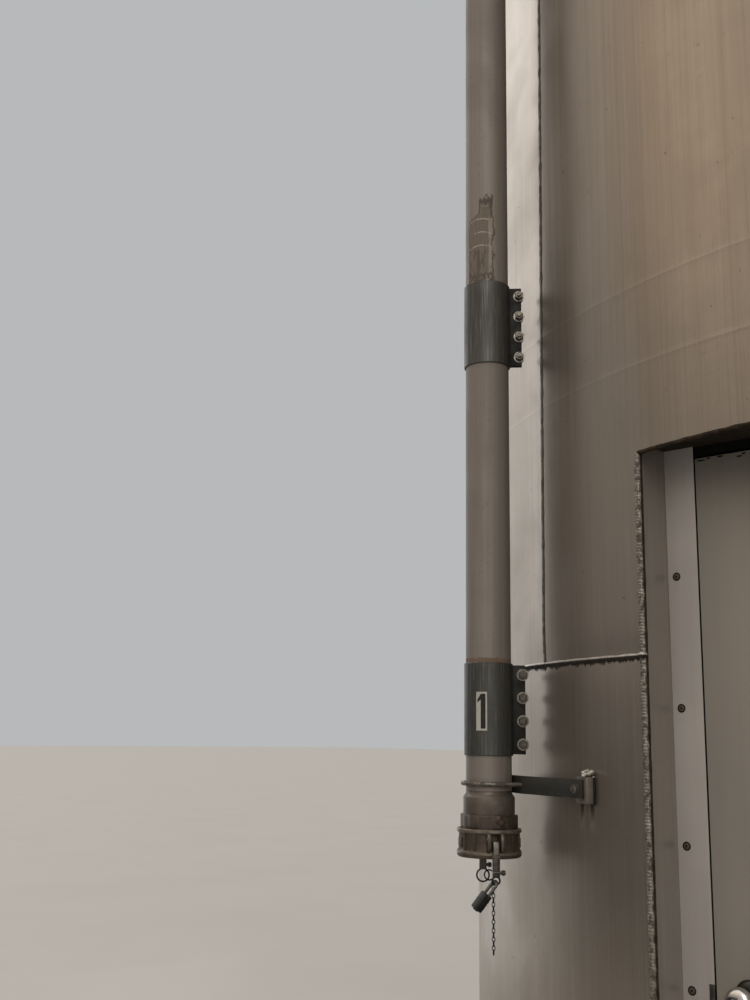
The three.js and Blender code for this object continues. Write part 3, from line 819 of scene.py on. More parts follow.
def weld_finish(name, color, soot, share, size, metallic=0.8, level=False):
    """Bare weld metal with soot in its ribs; on the lower half of a level weld, dirt and painted shade."""
    made = Finish(name, color, metallic, 0.36, shine=0.2)
    black = made.blotches(size, 0.44, 0.62)
    made.paint(made.blotches(14.0, 0.42, 0.62), shaded(color, 0.72), 0.7)
    made.paint(black, soot, share).rough(black, 0.3).dull(black, 0.45)
    if level:
        # Painted shade, with dirt, on the lower half of a level weld
        first = FIRST_SEAM + 0.0004
        under = made.effect(LEVEL_GRIME_AND_SHADE, First=first, Course=COURSE, Reach=0.02, Raggedness=55.0)
        made.paint(under, SOOT, 0.95).rough(under, 0.4).dull(under, 0.8)
    made.raise_by(made.effect(SKIN, Size=420.0), 0.0004, 0.8)
    return made.material


def frame_finish():
    """Pale extruded door frame."""
    made = Finish("frame extrusion", (0.42, 0.395, 0.375), 0.35, 0.42)
    clouds = made.blotches(4.0)
    made.paint(made.streaks(30.0, 0.8), (0.36, 0.333, 0.315), 0.6)
    made.paint(clouds, (0.46, 0.435, 0.41), 0.5).rough(clouds, 0.12)
    made.raise_by(made.effect(GRAIN, Across=900.0, Down=12.0), 0.00005, 0.4)
    return made.material


def leaf_finish():
    """Painted door leaf, dusty and finger-marked."""
    made = Finish("door paint", (0.232, 0.215, 0.19), 0.15, 0.46)
    clouds = made.blotches(2.4, 0.35)
    made.paint(made.streaks(14.0, 0.6), (0.19, 0.175, 0.155), 0.5)
    made.paint(clouds, (0.255, 0.234, 0.204), 0.5)
    made.paint(made.effect(SCUFFS, Across=20.0, Down=16.0, Share=0.7), DUST, 0.3)
    made.rough(clouds, 0.1)
    made.raise_by(made.effect(SKIN, Size=260.0), 0.0001, 0.5)
    made.raise_by(made.blotches(1.7, 0.2, 0.8), 0.0008, 0.4)
    return made.material


def plain_finish(name, color, metallic, roughness, worn, size=60.0, shine=0.3):
    """A small part's finish: one colour, worn towards another in patches."""
    made = Finish(name, color, metallic, roughness, shine)
    clouds = made.blotches(size, 0.42, 0.68)
    made.paint(clouds, worn, 0.6).rough(clouds, 0.14)
    made.raise_by(made.effect(SKIN, Size=600.0), 0.00008, 0.6)
    return made.material


PLATE = plate_finish()
ROOF_PLATE = plate_finish("roof plate", (0.36, 0.325, 0.285), shell=False)
LINING_PLATE = plate_finish("brushed lining", (0.31, 0.284, 0.255), 0.5, shell=False, lined=0.08)
PIPE = pipe_finish()
ZINC = zinc_finish()
FASTENERS = bright_zinc_finish()
CASTING = casting_finish()
FRAME = frame_finish()
LEAF = leaf_finish()

# Name, colour, soot, the soot's share and the size of its patches
WELD = weld_finish("weld metal", (0.26, 0.24, 0.215), (0.06, 0.048, 0.038), 0.9, 110.0)
# The level welds' pale colour is partly a painted highlight on their lit upper half
LEVEL_WELD_LIT_AND_SHADED = weld_finish("level weld", (0.5, 0.47, 0.43), (0.1, 0.08, 0.062), 0.35, 60.0, level=True)
DARK_WELD = weld_finish("sooty weld", (0.085, 0.07, 0.058), (0.035, 0.027, 0.021), 0.7, 60.0, metallic=0.2)
CLIP_WELD = weld_finish("clip weld", (0.55, 0.53, 0.49), (0.12, 0.1, 0.08), 0.6, 150.0)

# Name, colour, metal, roughness, worn colour, and the size of its patches and the shine where not usual
DARK_CHROME = plain_finish("knob rose", (0.06, 0.058, 0.054), 0.9, 0.2, (0.03, 0.028, 0.026))
CHROME = plain_finish("polished knob", (0.62, 0.61, 0.59), 1.0, 0.12, (0.5, 0.48, 0.45))
DARK_STEEL = plain_finish("worn dark steel", (0.012, 0.012, 0.011), 0.5, 0.45, (0.03, 0.028, 0.024))
ARM_METAL = plain_finish("cam arm metal", (0.2, 0.188, 0.165), 0.8, 0.3, (0.06, 0.053, 0.043), 110.0)
# The soffit's near-black is painted shade under the shell's lip
SOFFIT_SHADE = plain_finish("soffit painted shade", (0.03, 0.023, 0.017), 0.0, 0.8, (0.012, 0.009, 0.007), 30.0, 0.1)
RUBBER = plain_finish("seal rubber", (0.005, 0.005, 0.005), 0.0, 0.8, (0.01, 0.01, 0.009), shine=0.1)
SCREW_HEAD = plain_finish("screw", (0.11, 0.092, 0.075), 0.5, 0.45, (0.06, 0.048, 0.038), 300.0)
SCREW_RECESS_SHADE = plain_finish("screw recess painted shade", (0.012, 0.01, 0.008), 0.0, 0.8, (0.02, 0.017, 0.013), shine=0.1)
# The sleeves' ears, darker than the sleeves: painted shade under the washers
EAR_ZINC_SHADE = plain_finish("sleeve ear painted shade", (0.02, 0.019, 0.0175), 0.5, 0.5, (0.012, 0.011, 0.01), 40.0, 0.2)
# Dark beads in the doorway's gaps and under its lip: painted shade
GAP_SHADE = plain_finish("painted gap shade", (0.022, 0.016, 0.011), 0.0, 0.85, (0.06, 0.046, 0.034), 90.0, 0.1)
# Pale washers and dark nuts: painted highlight on the washers and painted shade on the nuts
WASHER_HIGHLIGHT = plain_finish("washers painted highlight", (0.22, 0.205, 0.18), 0.85, 0.3, (0.08, 0.07, 0.058), 160.0)
NUT_SHADE = plain_finish("nuts painted shade", (0.11, 0.1, 0.085), 0.85, 0.26, (0.02, 0.017, 0.013), 150.0)
# Lighter rings on the cap's rims: painted highlight
RIM_HIGHLIGHT = plain_finish("cap rim painted highlight", (0.2, 0.17, 0.137), 0.7, 0.38, (0.07, 0.057, 0.045))
LABEL = plain_finish("number plate", (0.36, 0.35, 0.32), 0.0, 0.5, (0.28, 0.265, 0.235), 90.0)
STRIKE_METAL = plain_finish("strike metal", (0.055, 0.052, 0.05), 0.7, 0.35, (0.1, 0.095, 0.09), 80.0)
INK = plain_finish("number paint", (0.008, 0.008, 0.008), 0.0, 0.4, (0.016, 0.016, 0.015))
PORT_GLASS = plain_finish("port glass", (0.02, 0.021, 0.023), 0.0, 0.12, (0.05, 0.048, 0.042), 14.0)
PORT_METAL = plain_finish("port flange", (0.30, 0.275, 0.245), 0.8, 0.4, (0.17, 0.145, 0.12), 22.0)
SHACKLE_METAL = plain_finish("worn shackle", (0.1, 0.095, 0.085), 0.8, 0.35, (0.05, 0.045, 0.04))
LEVER_METAL = plain_finish("cam lever", (0.085, 0.078, 0.066), 0.75, 0.36, (0.035, 0.03, 0.025), 90.0)
COLLAR_METAL = plain_finish("hose collar", (0.125, 0.107, 0.091), 0.6, 0.42, (0.075, 0.062, 0.052), 26.0)
EAR_METAL = plain_finish("cap ear metal", (0.11, 0.092, 0.074), 0.7, 0.4, (0.05, 0.04, 0.031), 70.0)
BAR_STEEL = plain_finish("strap steel", (0.05, 0.05, 0.046), 0.6, 0.42, (0.034, 0.03, 0.026), 24.0)
CLIP_METAL = plain_finish("clip metal", (0.16, 0.14, 0.12), 0.6, 0.45, (0.09, 0.078, 0.066), 45.0)


# The shell

def course_rows(low, high, extra):
    """Heights of a course's rows of vertices, close together near its welds."""
    steps = (0, 0.008, 0.018, 0.03, 0.048, 0.075, 0.12, 0.2, 0.36, 0.6)
    rows = {low + step for step in steps} | {high - step for step in steps} | set(extra)
    return sorted(row for row in {round(row, 5) for row in rows} if low <= row <= high)


def course_heights(number):
    """The lowest and highest point of a course."""
    if number == 1:
        return BASE_TOP + 0.0003, FIRST_SEAM
    low = FIRST_SEAM + (number - 2) * COURSE
    return low, low + COURSE


def turn_between(angle, other):
    """The turn from one angle to another, from -180 to 180 degrees."""
    return (angle - other + 180) % 360 - 180


def weld_angle(number, height):
    """The angle of a course's upright weld at a height."""
    angle, lean = UPRIGHT_WELDS[number - 1]
    return angle + lean * (height - course_heights(number)[0])


def shell_radius(angle, height, number):
    """The plate's own radius, with its pinches, ridges, peak and waves."""
    courses = (height - FIRST_SEAM) / COURSE
    near = abs(courses - round(courses)) * COURSE
    radius = RADIUS - PINCH * math.exp(-((near / PINCH_REACH) ** 2))
    for weld in HOPPER_WELDS:
        radius += HOPPER_RIDGE * math.exp(-(((height - weld) / HOPPER_RIDGE_REACH) ** 2))
    away = abs(turn_between(angle, weld_angle(number, height))) * math.radians(1) * RADIUS / PEAK_REACH
    radius -= PEAK * away * math.exp(1 - away)
    turn = math.radians(angle)
    spot = Vector((math.cos(turn) * 1.6, math.sin(turn) * 1.6, height * 0.55))
    return radius - WAVES * (1 + noise.noise(spot))


def in_doorway(face, opening):
    """Whether a face of the unturned shell lies between the door's edges, over the opening's heights."""
    middle = face.calc_center_median()
    angle = math.degrees(math.atan2(middle.y, middle.x)) % 360
    return DOOR_LEFT < angle < DOOR_RIGHT and opening[0] < middle.z < opening[1]


def course(bm, number, columns, opening=(), extra=()):
    """One course of plate, cut out between the door's edges over the heights of the opening."""
    low, high = course_heights(number)
    outline = [(RADIUS, row) for row in course_rows(low, high, (*extra, *opening))]
    narrow = math.degrees(PEAK_WIDTH / RADIUS)
    foot = weld_angle(number, low)
    stops = sorted([DOOR_LEFT, DOOR_RIGHT, *((foot + step) % 360 for step in (-narrow, 0, narrow))])
    skin = bmesh.new()
    for start, end in zip(stops, stops[1:] + [stops[0] + 360]):
        steps = max(1, round(columns * (end - start) / 360))
        turned(skin, outline, steps, start=start, sweep=end - start, closed=False)
    bmesh.ops.remove_doubles(skin, verts=skin.verts[:], dist=1e-5)
    if opening:
        gone = [face for face in skin.faces if in_doorway(face, opening)]
        bmesh.ops.delete(skin, geom=gone, context="FACES")
    for vert in skin.verts:
        angle = math.degrees(math.atan2(vert.co.y, vert.co.x))
        near = max(0.0, 1 - abs(turn_between(angle, foot)) / LEAN_REACH)
        angle += near * (weld_angle(number, vert.co.z) - foot)
        radius = shell_radius(angle, vert.co.z, number)
        turn = math.radians(angle)
        vert.co.xy = (radius * math.cos(turn), radius * math.sin(turn))
    bmesh.ops.recalc_face_normals(skin, faces=skin.faces[:])
    bmesh.ops.solidify(skin, geom=skin.faces[:], thickness=WALL)
    bmesh.ops.transform(skin, matrix=AXIS, verts=skin.verts[:])
    mesh = bpy.data.meshes.new("course")
    skin.to_mesh(mesh)
    skin.free()
    bm.from_mesh(mesh)
    bpy.data.meshes.remove(mesh)


def make_shell():
    bm = bmesh.new()
    course(bm, 1, NEAR_COLUMNS, opening=(SILL, FIRST_SEAM))
    skirt = ("skirt_left", "skirt_right", "skirt_back", "skirt_below_door")
    piece("skirt_plate", bm, PLATE, skirt, outward=False)

    bm = bmesh.new()
    steps = (-0.04, -0.014, -0.009, -0.006, -0.003, 0, 0.003, 0.006, 0.009, 0.014, 0.04)
    near = [weld + step for weld in HOPPER_WELDS for step in steps]
    course(bm, 2, NEAR_COLUMNS, opening=(FIRST_SEAM, DOOR_HEAD), extra=near)
    piece("second_course", bm, PLATE, ("wall_2_round", "wall_2_over_door"), outward=False)

    for number in range(3, COURSES, 2):
        bm = bmesh.new()
        course(bm, number, FAR_COLUMNS)
        course(bm, number + 1, FAR_COLUMNS)
        pair = f"{number}_{number + 1}"
        piece(f"courses_{pair}", bm, PLATE, (f"wall_{pair}",), outward=False)


def level_place(height, start, sweep, number):
    """Lays a bead level round the shell, at the foot of a course."""
    def place(along, side, lift):
        angle = start + sweep * along
        return at(angle, shell_radius(angle, height, number) + lift, height + side)
    return place


def upright_place(number):
    """Lays a bead up the whole of a course."""
    low, high = course_heights(number)

    def place(along, side, lift):
        height = low + (high - low) * along
        turn = weld_angle(number, height) + math.degrees(side / RADIUS)
        return at(turn, shell_radius(turn, height, number) + lift, height)
    return place


def make_shell_welds():
    """The level welds between courses and the upright weld of each course."""
    bm = bmesh.new()
    place = level_place(FIRST_SEAM, DOOR_RIGHT, 360 - 2 * DOOR_EDGE, 2)
    bead(bm, 2600, 8, place, 0.0026, 0.0095, ribbed=0.1)
    knots = [at(DOOR_LEFT - 0.1, RADIUS, FIRST_SEAM), at(DOOR_RIGHT + 0.1, RADIUS, FIRST_SEAM)]
    weld_lumps(bm, knots, 0.009, 5.0)
    piece("first_level_weld", bm, LEVEL_WELD_LIT_AND_SHADED, outward=False)

    bm = bmesh.new()
    for number in range(3, COURSES + 1):
        seam = course_heights(number)[0]
        bead(bm, 720, 4, level_place(seam, 0, 360, number), 0.0022, 0.0095, seed=number)
    piece("level_welds", bm, LEVEL_WELD_LIT_AND_SHADED, outward=False)

    bm = bmesh.new()
    for number in range(2, COURSES + 1):
        ribs = 700 if number == 2 else 240
        bead(bm, ribs, 6, upright_place(number), 0.0019, 0.017, seed=20 + number, ribbed=0.1)
    piece("upright_welds", bm, DARK_WELD, outward=False)


def beside_door(along):
    """A height beside the doorway."""
    return SILL + (DOOR_HEAD - SILL) * along


def over_door(along):
    """An angle over the doorway."""
    return DOOR_LEFT + (DOOR_RIGHT - DOOR_LEFT) * along


def make_door_welds():
    """The coarse welds down both edges of the doorway, where the lining meets the shell."""
    bm = bmesh.new()
    for angle, seed, inward in ((DOOR_LEFT, 3.0, 1), (DOOR_RIGHT, 7.0, -1)):
        outward = (at(angle, 1) - at(angle, 0)).normalized()
        lean = (outward + Vector((0.25 * inward, 0, 0))).normalized()
        across = lean.cross(Vector((0, 0, 1)))
        edge = at(angle - inward * math.degrees(DOOR_WELD_ASIDE / RADIUS), RADIUS - 0.0015)

        def place(along, side, lift, edge=edge, lean=lean, across=across):
            return edge + Vector((0, 0, beside_door(along))) + lean * lift * 1.3 + across * side

        bead(bm, 1000, 8, place, 0.0034, 0.0135, seed=seed, ribbed=0.14)
    piece("door_edge_welds", bm, WELD, outward=False)


def make_door_gap_shade():
    """Dark ragged beads inside both edges of the doorway, under the shell's lip and along its face: painted
    shade in the gaps and under the lip.
    """
    bm = bmesh.new()
    for angle, inward in ((DOOR_LEFT, 1), (DOOR_RIGHT, -1)):
        def gap(along, side, lift, angle=angle, inward=inward):
            corner = at(angle, RADIUS - 0.0075, beside_door(along))
            return corner + Vector((inward * (0.001 + lift), -inward * side, 0))

        bead(bm, 500, 4, gap, 0.0016, 0.008, seed=11.0, ribbed=0.1)

    def under(along, side, lift):
        return at(over_door(along), RADIUS - 0.005 + side, DOOR_HEAD - 0.0002 - 0.4 * lift)

    def lip(along, side, lift):
        return at(over_door(along), RADIUS - 0.0005 + lift, DOOR_HEAD + 0.0022 + side)

    bead(bm, 420, 4, under, 0.002, 0.0098, seed=13.0, ribbed=0.3)
    bead(bm, 420, 4, lip, 0.0026, 0.0075, seed=9.0, ribbed=0.5)
    piece("door_lip_shade_beads", bm, GAP_SHADE, outward=False)


# The base, the hopper and the roof

def half_width(node):
    low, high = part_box(node)
    return (high.x - low.x) / 2


def make_base():
    bm = bmesh.new()
    inside = RADIUS - BASE_WIDTH
    turned(bm, [(inside, 0), (RADIUS, 0), (RADIUS, BASE_TOP), (inside, BASE_TOP)], 180, AXIS)
    piece("base_flange", bm, PLATE, ("base_ring",))


def make_hopper():
    """The 45 degree cone with its short collar, and the outlet with its bolted flange."""
    collar = HOPPER_WELDS[0]
    plate = 0.006
    slant = plate * math.sqrt(2)
    bore = 0.15
    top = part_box("hopper_cone")[1].z
    rim = half_width("hopper_cone")
    inside = rim - plate
    foot = top - (inside - bore)
    bm = bmesh.new()
    cone = [
        (rim, collar), (rim, top), (inside, top), (bore, foot), (bore, foot - slant), (inside, top - slant),
        (inside, collar),
    ]
    turned(bm, cone, 144, AXIS)
    piece("hopper", bm, LINING_PLATE, ("hopper_cone",))

    base, top = (corner.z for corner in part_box("hopper_outlet"))
    flange = half_width("hopper_outlet")
    thick = 0.012
    bm = bmesh.new()
    neck = [
        (bore - plate, base), (flange, base), (flange, base + thick), (bore, base + thick), (bore, top),
        (bore - plate, top),
    ]
    turned(bm, neck, 72, AXIS)
    for index in range(12):
        nut(bm, 0.019, 0.008, AXIS @ spun(30 * index) @ moved(0.185, 0, base + thick))
    piece("outlet", bm, LINING_PLATE, ("hopper_outlet",))


def make_roof():
    """The cone with its eave lip, and the welds between its plates and round the hatch's neck."""
    low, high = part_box("roof_cone")
    eave = half_width("roof_cone")
    hole = 0.25
    slope = math.tan(math.radians(15))
    plate = 0.006
    edge = 0.004
    lip = eave - plate

    def top(radius):
        return high.z - (radius - hole) * slope

    outline = [
        (hole, top(hole) - plate), (lip, top(lip) - plate), (lip, low.z), (eave, low.z),
        (eave, top(eave) - edge), (eave - edge, top(eave - edge)), (hole, top(hole)),
    ]
    bm = bmesh.new()
    turned(bm, outline, 180, AXIS)
    piece("roof", bm, ROOF_PLATE, ("roof_cone",))

    bm = bmesh.new()
    for index in range(8):
        def down_roof(along, side, lift, turn=AXIS @ spun(22.5 + 45 * index)):
            radius = 0.29 + (eave - 0.31) * along
            return turn @ Vector((radius, side, top(radius) + lift))

        bead(bm, 260, 4, down_roof, 0.003, 0.012, seed=40 + index)

    def round_neck(along, side, lift):
        radius = 0.268 + side
        return AXIS @ spun(360 * along) @ Vector((radius, 0, top(radius) + lift))

    bead(bm, 240, 4, round_neck, 0.005, 0.014, seed=50)
    piece("roof_welds", bm, WELD, outward=False)


def make_hatch():
    """A round hatch: its neck, its lid and four clamps."""
    low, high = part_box("roof_hatch")
    lid = half_width("roof_hatch")
    neck = lid - 0.02
    bore = neck - 0.008
    under = high.z - 0.04
    bm = bmesh.new()
    outline = [
        (0, under + 0.008), (bore, under + 0.008), (bore, low.z), (neck, low.z), (neck, under), (lid, under),
        (lid, under + 0.018), (lid - 0.006, under + 0.024), (0.12, high.z - 0.004), (0, high.z),
    ]
    turned(bm, outline, 96, AXIS)
    for index in range(4):
        block(bm, (0.012, 0.03, 0.07), (lid - 0.012, 0, under - 0.03), 0.002, AXIS @ spun(90 * index + 45))
    piece("hatch", bm, ROOF_PLATE, ("roof_hatch",))


def make_inlet():
    low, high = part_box("roof_inlet")
    middle = (low + high) / 2
    radius = half_width("roof_inlet")
    foot = low.z + 0.02
    bm = bmesh.new()
    outline = [(0, foot), (radius, foot), (radius, high.z - 0.014), (radius - 0.004, high.z), (0, high.z)]
    turned(bm, outline, 64, moved(middle.x, middle.y, 0))
    piece("inlet", bm, ROOF_PLATE, ("roof_inlet",))


# Pipes

def pipe_length(name, low, high, radius, where, node):
    bm = bmesh.new()
    rod(bm, low, high, radius, sides=72, where=where)
    piece(name, bm, PIPE, (node,))


def pipe_top(name, start, rise, radius, bend, sweep, onward, where, node):
    """The top length: up, round a bend towards the axis, and straight on."""
    bm = bmesh.new()
    rod(bm, start, rise, radius, sides=72, where=where)
    turn = where @ moved(bend, 0, rise) @ spun(90, "X") @ spun(180) @ Matrix.Diagonal((1, -1, 1, 1))
    bow(bm, bend, radius, sweep, sides=72, steps=40, where=turn)
    angle = math.radians(sweep)
    end = (bend - bend * math.cos(angle), 0, rise + bend * math.sin(angle))
    along = (math.sin(angle), 0, math.cos(angle))
    rod(bm, 0, onward, radius, sides=72, where=where @ turned_to(along, end))
    piece(name, bm, PIPE, (node,))


def make_coupling(name, radius, middle, ear, where, node):
    """A split sleeve clamped over a pipe joint by four bolts through its ear."""
    inner = radius + 0.0003
    outer = radius + SLEEVE_WALL
    low = middle - COUPLING_LENGTH / 2
    high = middle + COUPLING_LENGTH / 2
    edge = 0.0011
    bm = bmesh.new()
    outline = [
        (inner, low + edge), (inner + edge, low), (outer - edge, low), (outer, low + edge),
        (outer, high - edge), (outer - edge, high), (inner + edge, high), (inner, high - edge),
    ]
    turned(bm, outline, 72, where)
    piece(name, bm, ZINC, (node,))

    side = where @ spun(ear)
    bm = bmesh.new()
    for offset in (-0.0041, 0.0041):
        block(bm, (0.03, 0.0054, COUPLING_LENGTH - 0.007), (outer + 0.0125, offset, middle), 0.0014, side)
    # The ears' darker colour is painted shade
    piece(f"{name}_ear", bm, EAR_ZINC_SHADE)

    inset = 0.025
    bm = bmesh.new()
    rings = bmesh.new()
    through = side @ moved(outer + 0.0218, 0.0068, 0) @ spun(90, "X")
    for index in range(4):
        height = low + inset + (COUPLING_LENGTH - 2 * inset) * index / 3
        bolt(bm, rings, 0.018, 0.0136, moved(0, 0, height) @ through)
    # Painted highlight on the washers, painted shade on the nuts
    piece(f"{name}_bolts", bm, NUT_SHADE)
    piece(f"{name}_washers", rings, WASHER_HIGHLIGHT)


def make_bracket(name, height, radius, angle, distance, lug_angle, nodes=()):
    """A flat bar, the U-bolt that holds the pipe to it, and the clip that is welded to the shell."""
    where = beside(angle, distance, height)
    near = radius + 0.0003
    bend = radius + 0.007
    lug = lug_of(angle, distance, lug_angle)
    bar = 0.006
    bm = bmesh.new()
    plan = [
        (near, bend + 0.012), (near, -bend - 0.002), (near + 0.002, -bend - 0.007), (lug.x, lug.y),
        (lug.x + bar, lug.y + 0.002), (near + bar, -bend - 0.004), (near + bar, bend + 0.012),
    ]
    upright(bm, plan, -BAR_TALL / 2, BAR_TALL / 2, 0.0008, where)
    piece(f"{name}_bar", bm, BAR_STEEL, nodes)

    # The clip is an angle, its foot on the shell at weld and its face under the bar
    bm = bmesh.new()
    under = lug.x + bar - 0.001
    thick = 0.008
    near_side = lug.y - 0.01
    far_side = lug.y + 0.04
    weld = distance - math.sqrt(RADIUS ** 2 - lug.y ** 2) - 0.0005
    clip = [
        (under, far_side), (under, near_side), (weld, near_side), (weld, near_side + thick),
        (under + thick, near_side + thick), (under + thick, far_side),
    ]
    upright(bm, clip, CLIP_LOW, CLIP_HIGH, 0.0012, where)
    piece(f"{name}_clip", bm, CLIP_METAL)

    bm = bmesh.new()
    wire = 0.00475
    bow(bm, bend, wire, 180, 12, 24, where @ spun(90))
    for side in (-bend, bend):
        leg = where @ turned_to((1, 0, 0), (0, side, 0))
        rod(bm, 0, near + 0.022, wire, sides=12, where=leg)
        nut(bm, 0.016, 0.008, leg @ moved(0, 0, near + bar))
    slope = (Vector((near, -bend)) - lug).normalized()
    spot = lug + slope * 0.018
    through = where @ turned_to((-slope.y, slope.x, 0), (spot.x, spot.y, 0))
    rod(bm, -0.001, 0.0018, 0.0105, sides=24, where=through)
    nut(bm, 0.0155, 0.0075, through @ moved(0, 0, 0.0018), end=0.003)
    piece(f"{name}_fasteners", bm, FASTENERS)

    bm = bmesh.new()
    lumps = []
    for index in range(70):
        across = (index * 0.618) % 1.0
        back = ((index * 0.83) % 1.0) * (1 - 0.6 * across)
        up = 0.014 * ((index * 0.377) % 1.0) * (1 - 0.7 * back)
        shift = 0.003 * noise.noise(Vector((index * 0.9, height, 0)))
        spot = (weld - 0.001 - 0.024 * back, near_side + 0.03 * across + shift, CLIP_HIGH + up)
        lumps.append(where @ Vector(spot))
    weld_lumps(bm, lumps, 0.004, height)
    piece(f"{name}_weld", bm, CLIP_WELD)

    # A thin dark strip in the corner where the clip's leg meets the shell: painted shade
    bm = bmesh.new()
    joint = [
        (weld + 0.0005, near_side - 0.0025), (weld - 0.0035, near_side - 0.0025),
        (weld - 0.0035, near_side + 0.0005), (weld + 0.0005, near_side + 0.0005),
    ]
    upright(bm, joint, CLIP_LOW - 0.002, CLIP_HIGH, 0.0008, where)
    piece(f"{name}_shade_strip", bm, DARK_STEEL)


def make_fill_pipe():
    for number in range(1, 5):
        low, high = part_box(f"fill_pipe_{number}")
        pipe_length(f"pipe_length_{number}", low.z, high.z, PIPE_RADIUS, FILL, f"fill_pipe_{number}")
    low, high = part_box("fill_pipe_top")
    rise = high.z - PIPE_RADIUS - FILL_BEND
    inlet = sum(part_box("roof_inlet"), Vector()) / 2
    reach = FILL_FROM_AXIS - Vector((inlet.x, inlet.y - AXIS_Y)).length
    onward = reach - half_width("roof_inlet") - FILL_BEND
    pipe_top("pipe_top", low.z, rise, PIPE_RADIUS, FILL_BEND, 90, onward, FILL, "fill_pipe_top")
    for number, middle in enumerate(COUPLINGS, 1):
        ear = EAR_ANGLE - FILL_ANGLE
        make_coupling(f"sleeve_{number}", PIPE_RADIUS, middle, ear, FILL, f"coupling_{number}")
    for number in range(1, BRACKETS + 1):
        height = BRACKET_LOW + (number - 1) * BRACKET_STEP
        nodes = (f"pipe_bracket_{number}",)
        make_bracket(f"bracket_{number}", height, PIPE_RADIUS, FILL_ANGLE, FILL_FROM_AXIS, LUG_ANGLE, nodes)


def make_vent_pipe():
    low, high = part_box("vent_mouth")
    bm = bmesh.new()
    bore = VENT_RADIUS - 0.004
    turned(bm, [(bore, low.z), (VENT_RADIUS, low.z), (VENT_RADIUS, high.z), (bore, high.z)], 72, VENT)
    piece("vent_foot", bm, PIPE, ("vent_mouth",))
    joints = zip(VENT_COUPLINGS, VENT_COUPLINGS[1:])
    for number, (start, end) in enumerate(joints, 1):
        node = f"vent_pipe_{number}"
        pipe_length(f"vent_length_{number}", start + 0.002, end - 0.002, VENT_RADIUS, VENT, node)
    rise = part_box("vent_pipe_top")[1].z - VENT_RADIUS - VENT_BEND
    start = VENT_COUPLINGS[-1] + 0.002
    drop = rise - WALL_TOP - 0.11
    pipe_top("vent_top", start, rise, VENT_RADIUS, VENT_BEND, 180, drop, VENT, "vent_pipe_top")
    for number, middle in enumerate(VENT_COUPLINGS, 1):
        node = f"vent_coupling_{number}"
        make_coupling(f"vent_sleeve_{number}", VENT_RADIUS, middle, VENT_EAR_ANGLE, VENT, node)
    for number, height in enumerate(VENT_BRACKETS, 1):
        name = f"vent_bracket_{number}"
        make_bracket(name, height, VENT_RADIUS, VENT_ANGLE, VENT_FROM_AXIS, VENT_LUG_ANGLE)


# The hose fitting at the foot of the fill pipe

def make_adapter():
    """The collar, which tapers up into the pipe, and the hexagon nut below it with one round boss."""
    low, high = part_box("pipe_adapter")
    bm = bmesh.new()
    outline = [
        (0, HOSE_NUT_TOP - 0.0005), (0.056, HOSE_NUT_TOP - 0.0005), (0.0568, HOSE_NUT_TOP + 0.002),
        (0.0568, HOSE_SHOULDER - 0.0012), (0.0561, HOSE_SHOULDER + 0.0008), (0.0532, HOSE_SHOULDER + 0.0044),
        (0.0509, HOSE_SHOULDER + 0.0085), (0.0504, high.z - 0.002), (0.0504, high.z), (0, high.z),
    ]
    turned(bm, outline, 72, FILL)
    piece("hose_collar", bm, COLLAR_METAL, ("pipe_adapter",))

    bm = bmesh.new()
    soften(bm, rod(bm, low.z, HOSE_NUT_TOP, 0.0645, sides=6, where=FILL), 0.0026)
    rod(bm, low.z, HOSE_NUT_TOP - 0.004, 0.0575, sides=48, where=FILL)
    boss = FILL @ spun(HOSE_BOSS_ANGLE - FILL_TURN) @ turned_to((1, 0, 0), (0.0585, 0, HOSE_NUT_TOP - 0.0135))
    rod(bm, 0, 0.0065, 0.009, sides=24, top=0.0062, where=boss)
    piece("hose_nut", bm, CASTING)


def side_view(bm, outline, side, half, bevel, offset=0.0):
    """An outline of (out, up) corners on one side of the cap, given its thickness across the arm."""
    corners = [(side * out, offset - half, CAP_BASE + up) for out, up in outline]
    pulled(bm, corners, (0, 2 * half, 0), bevel, CAP)


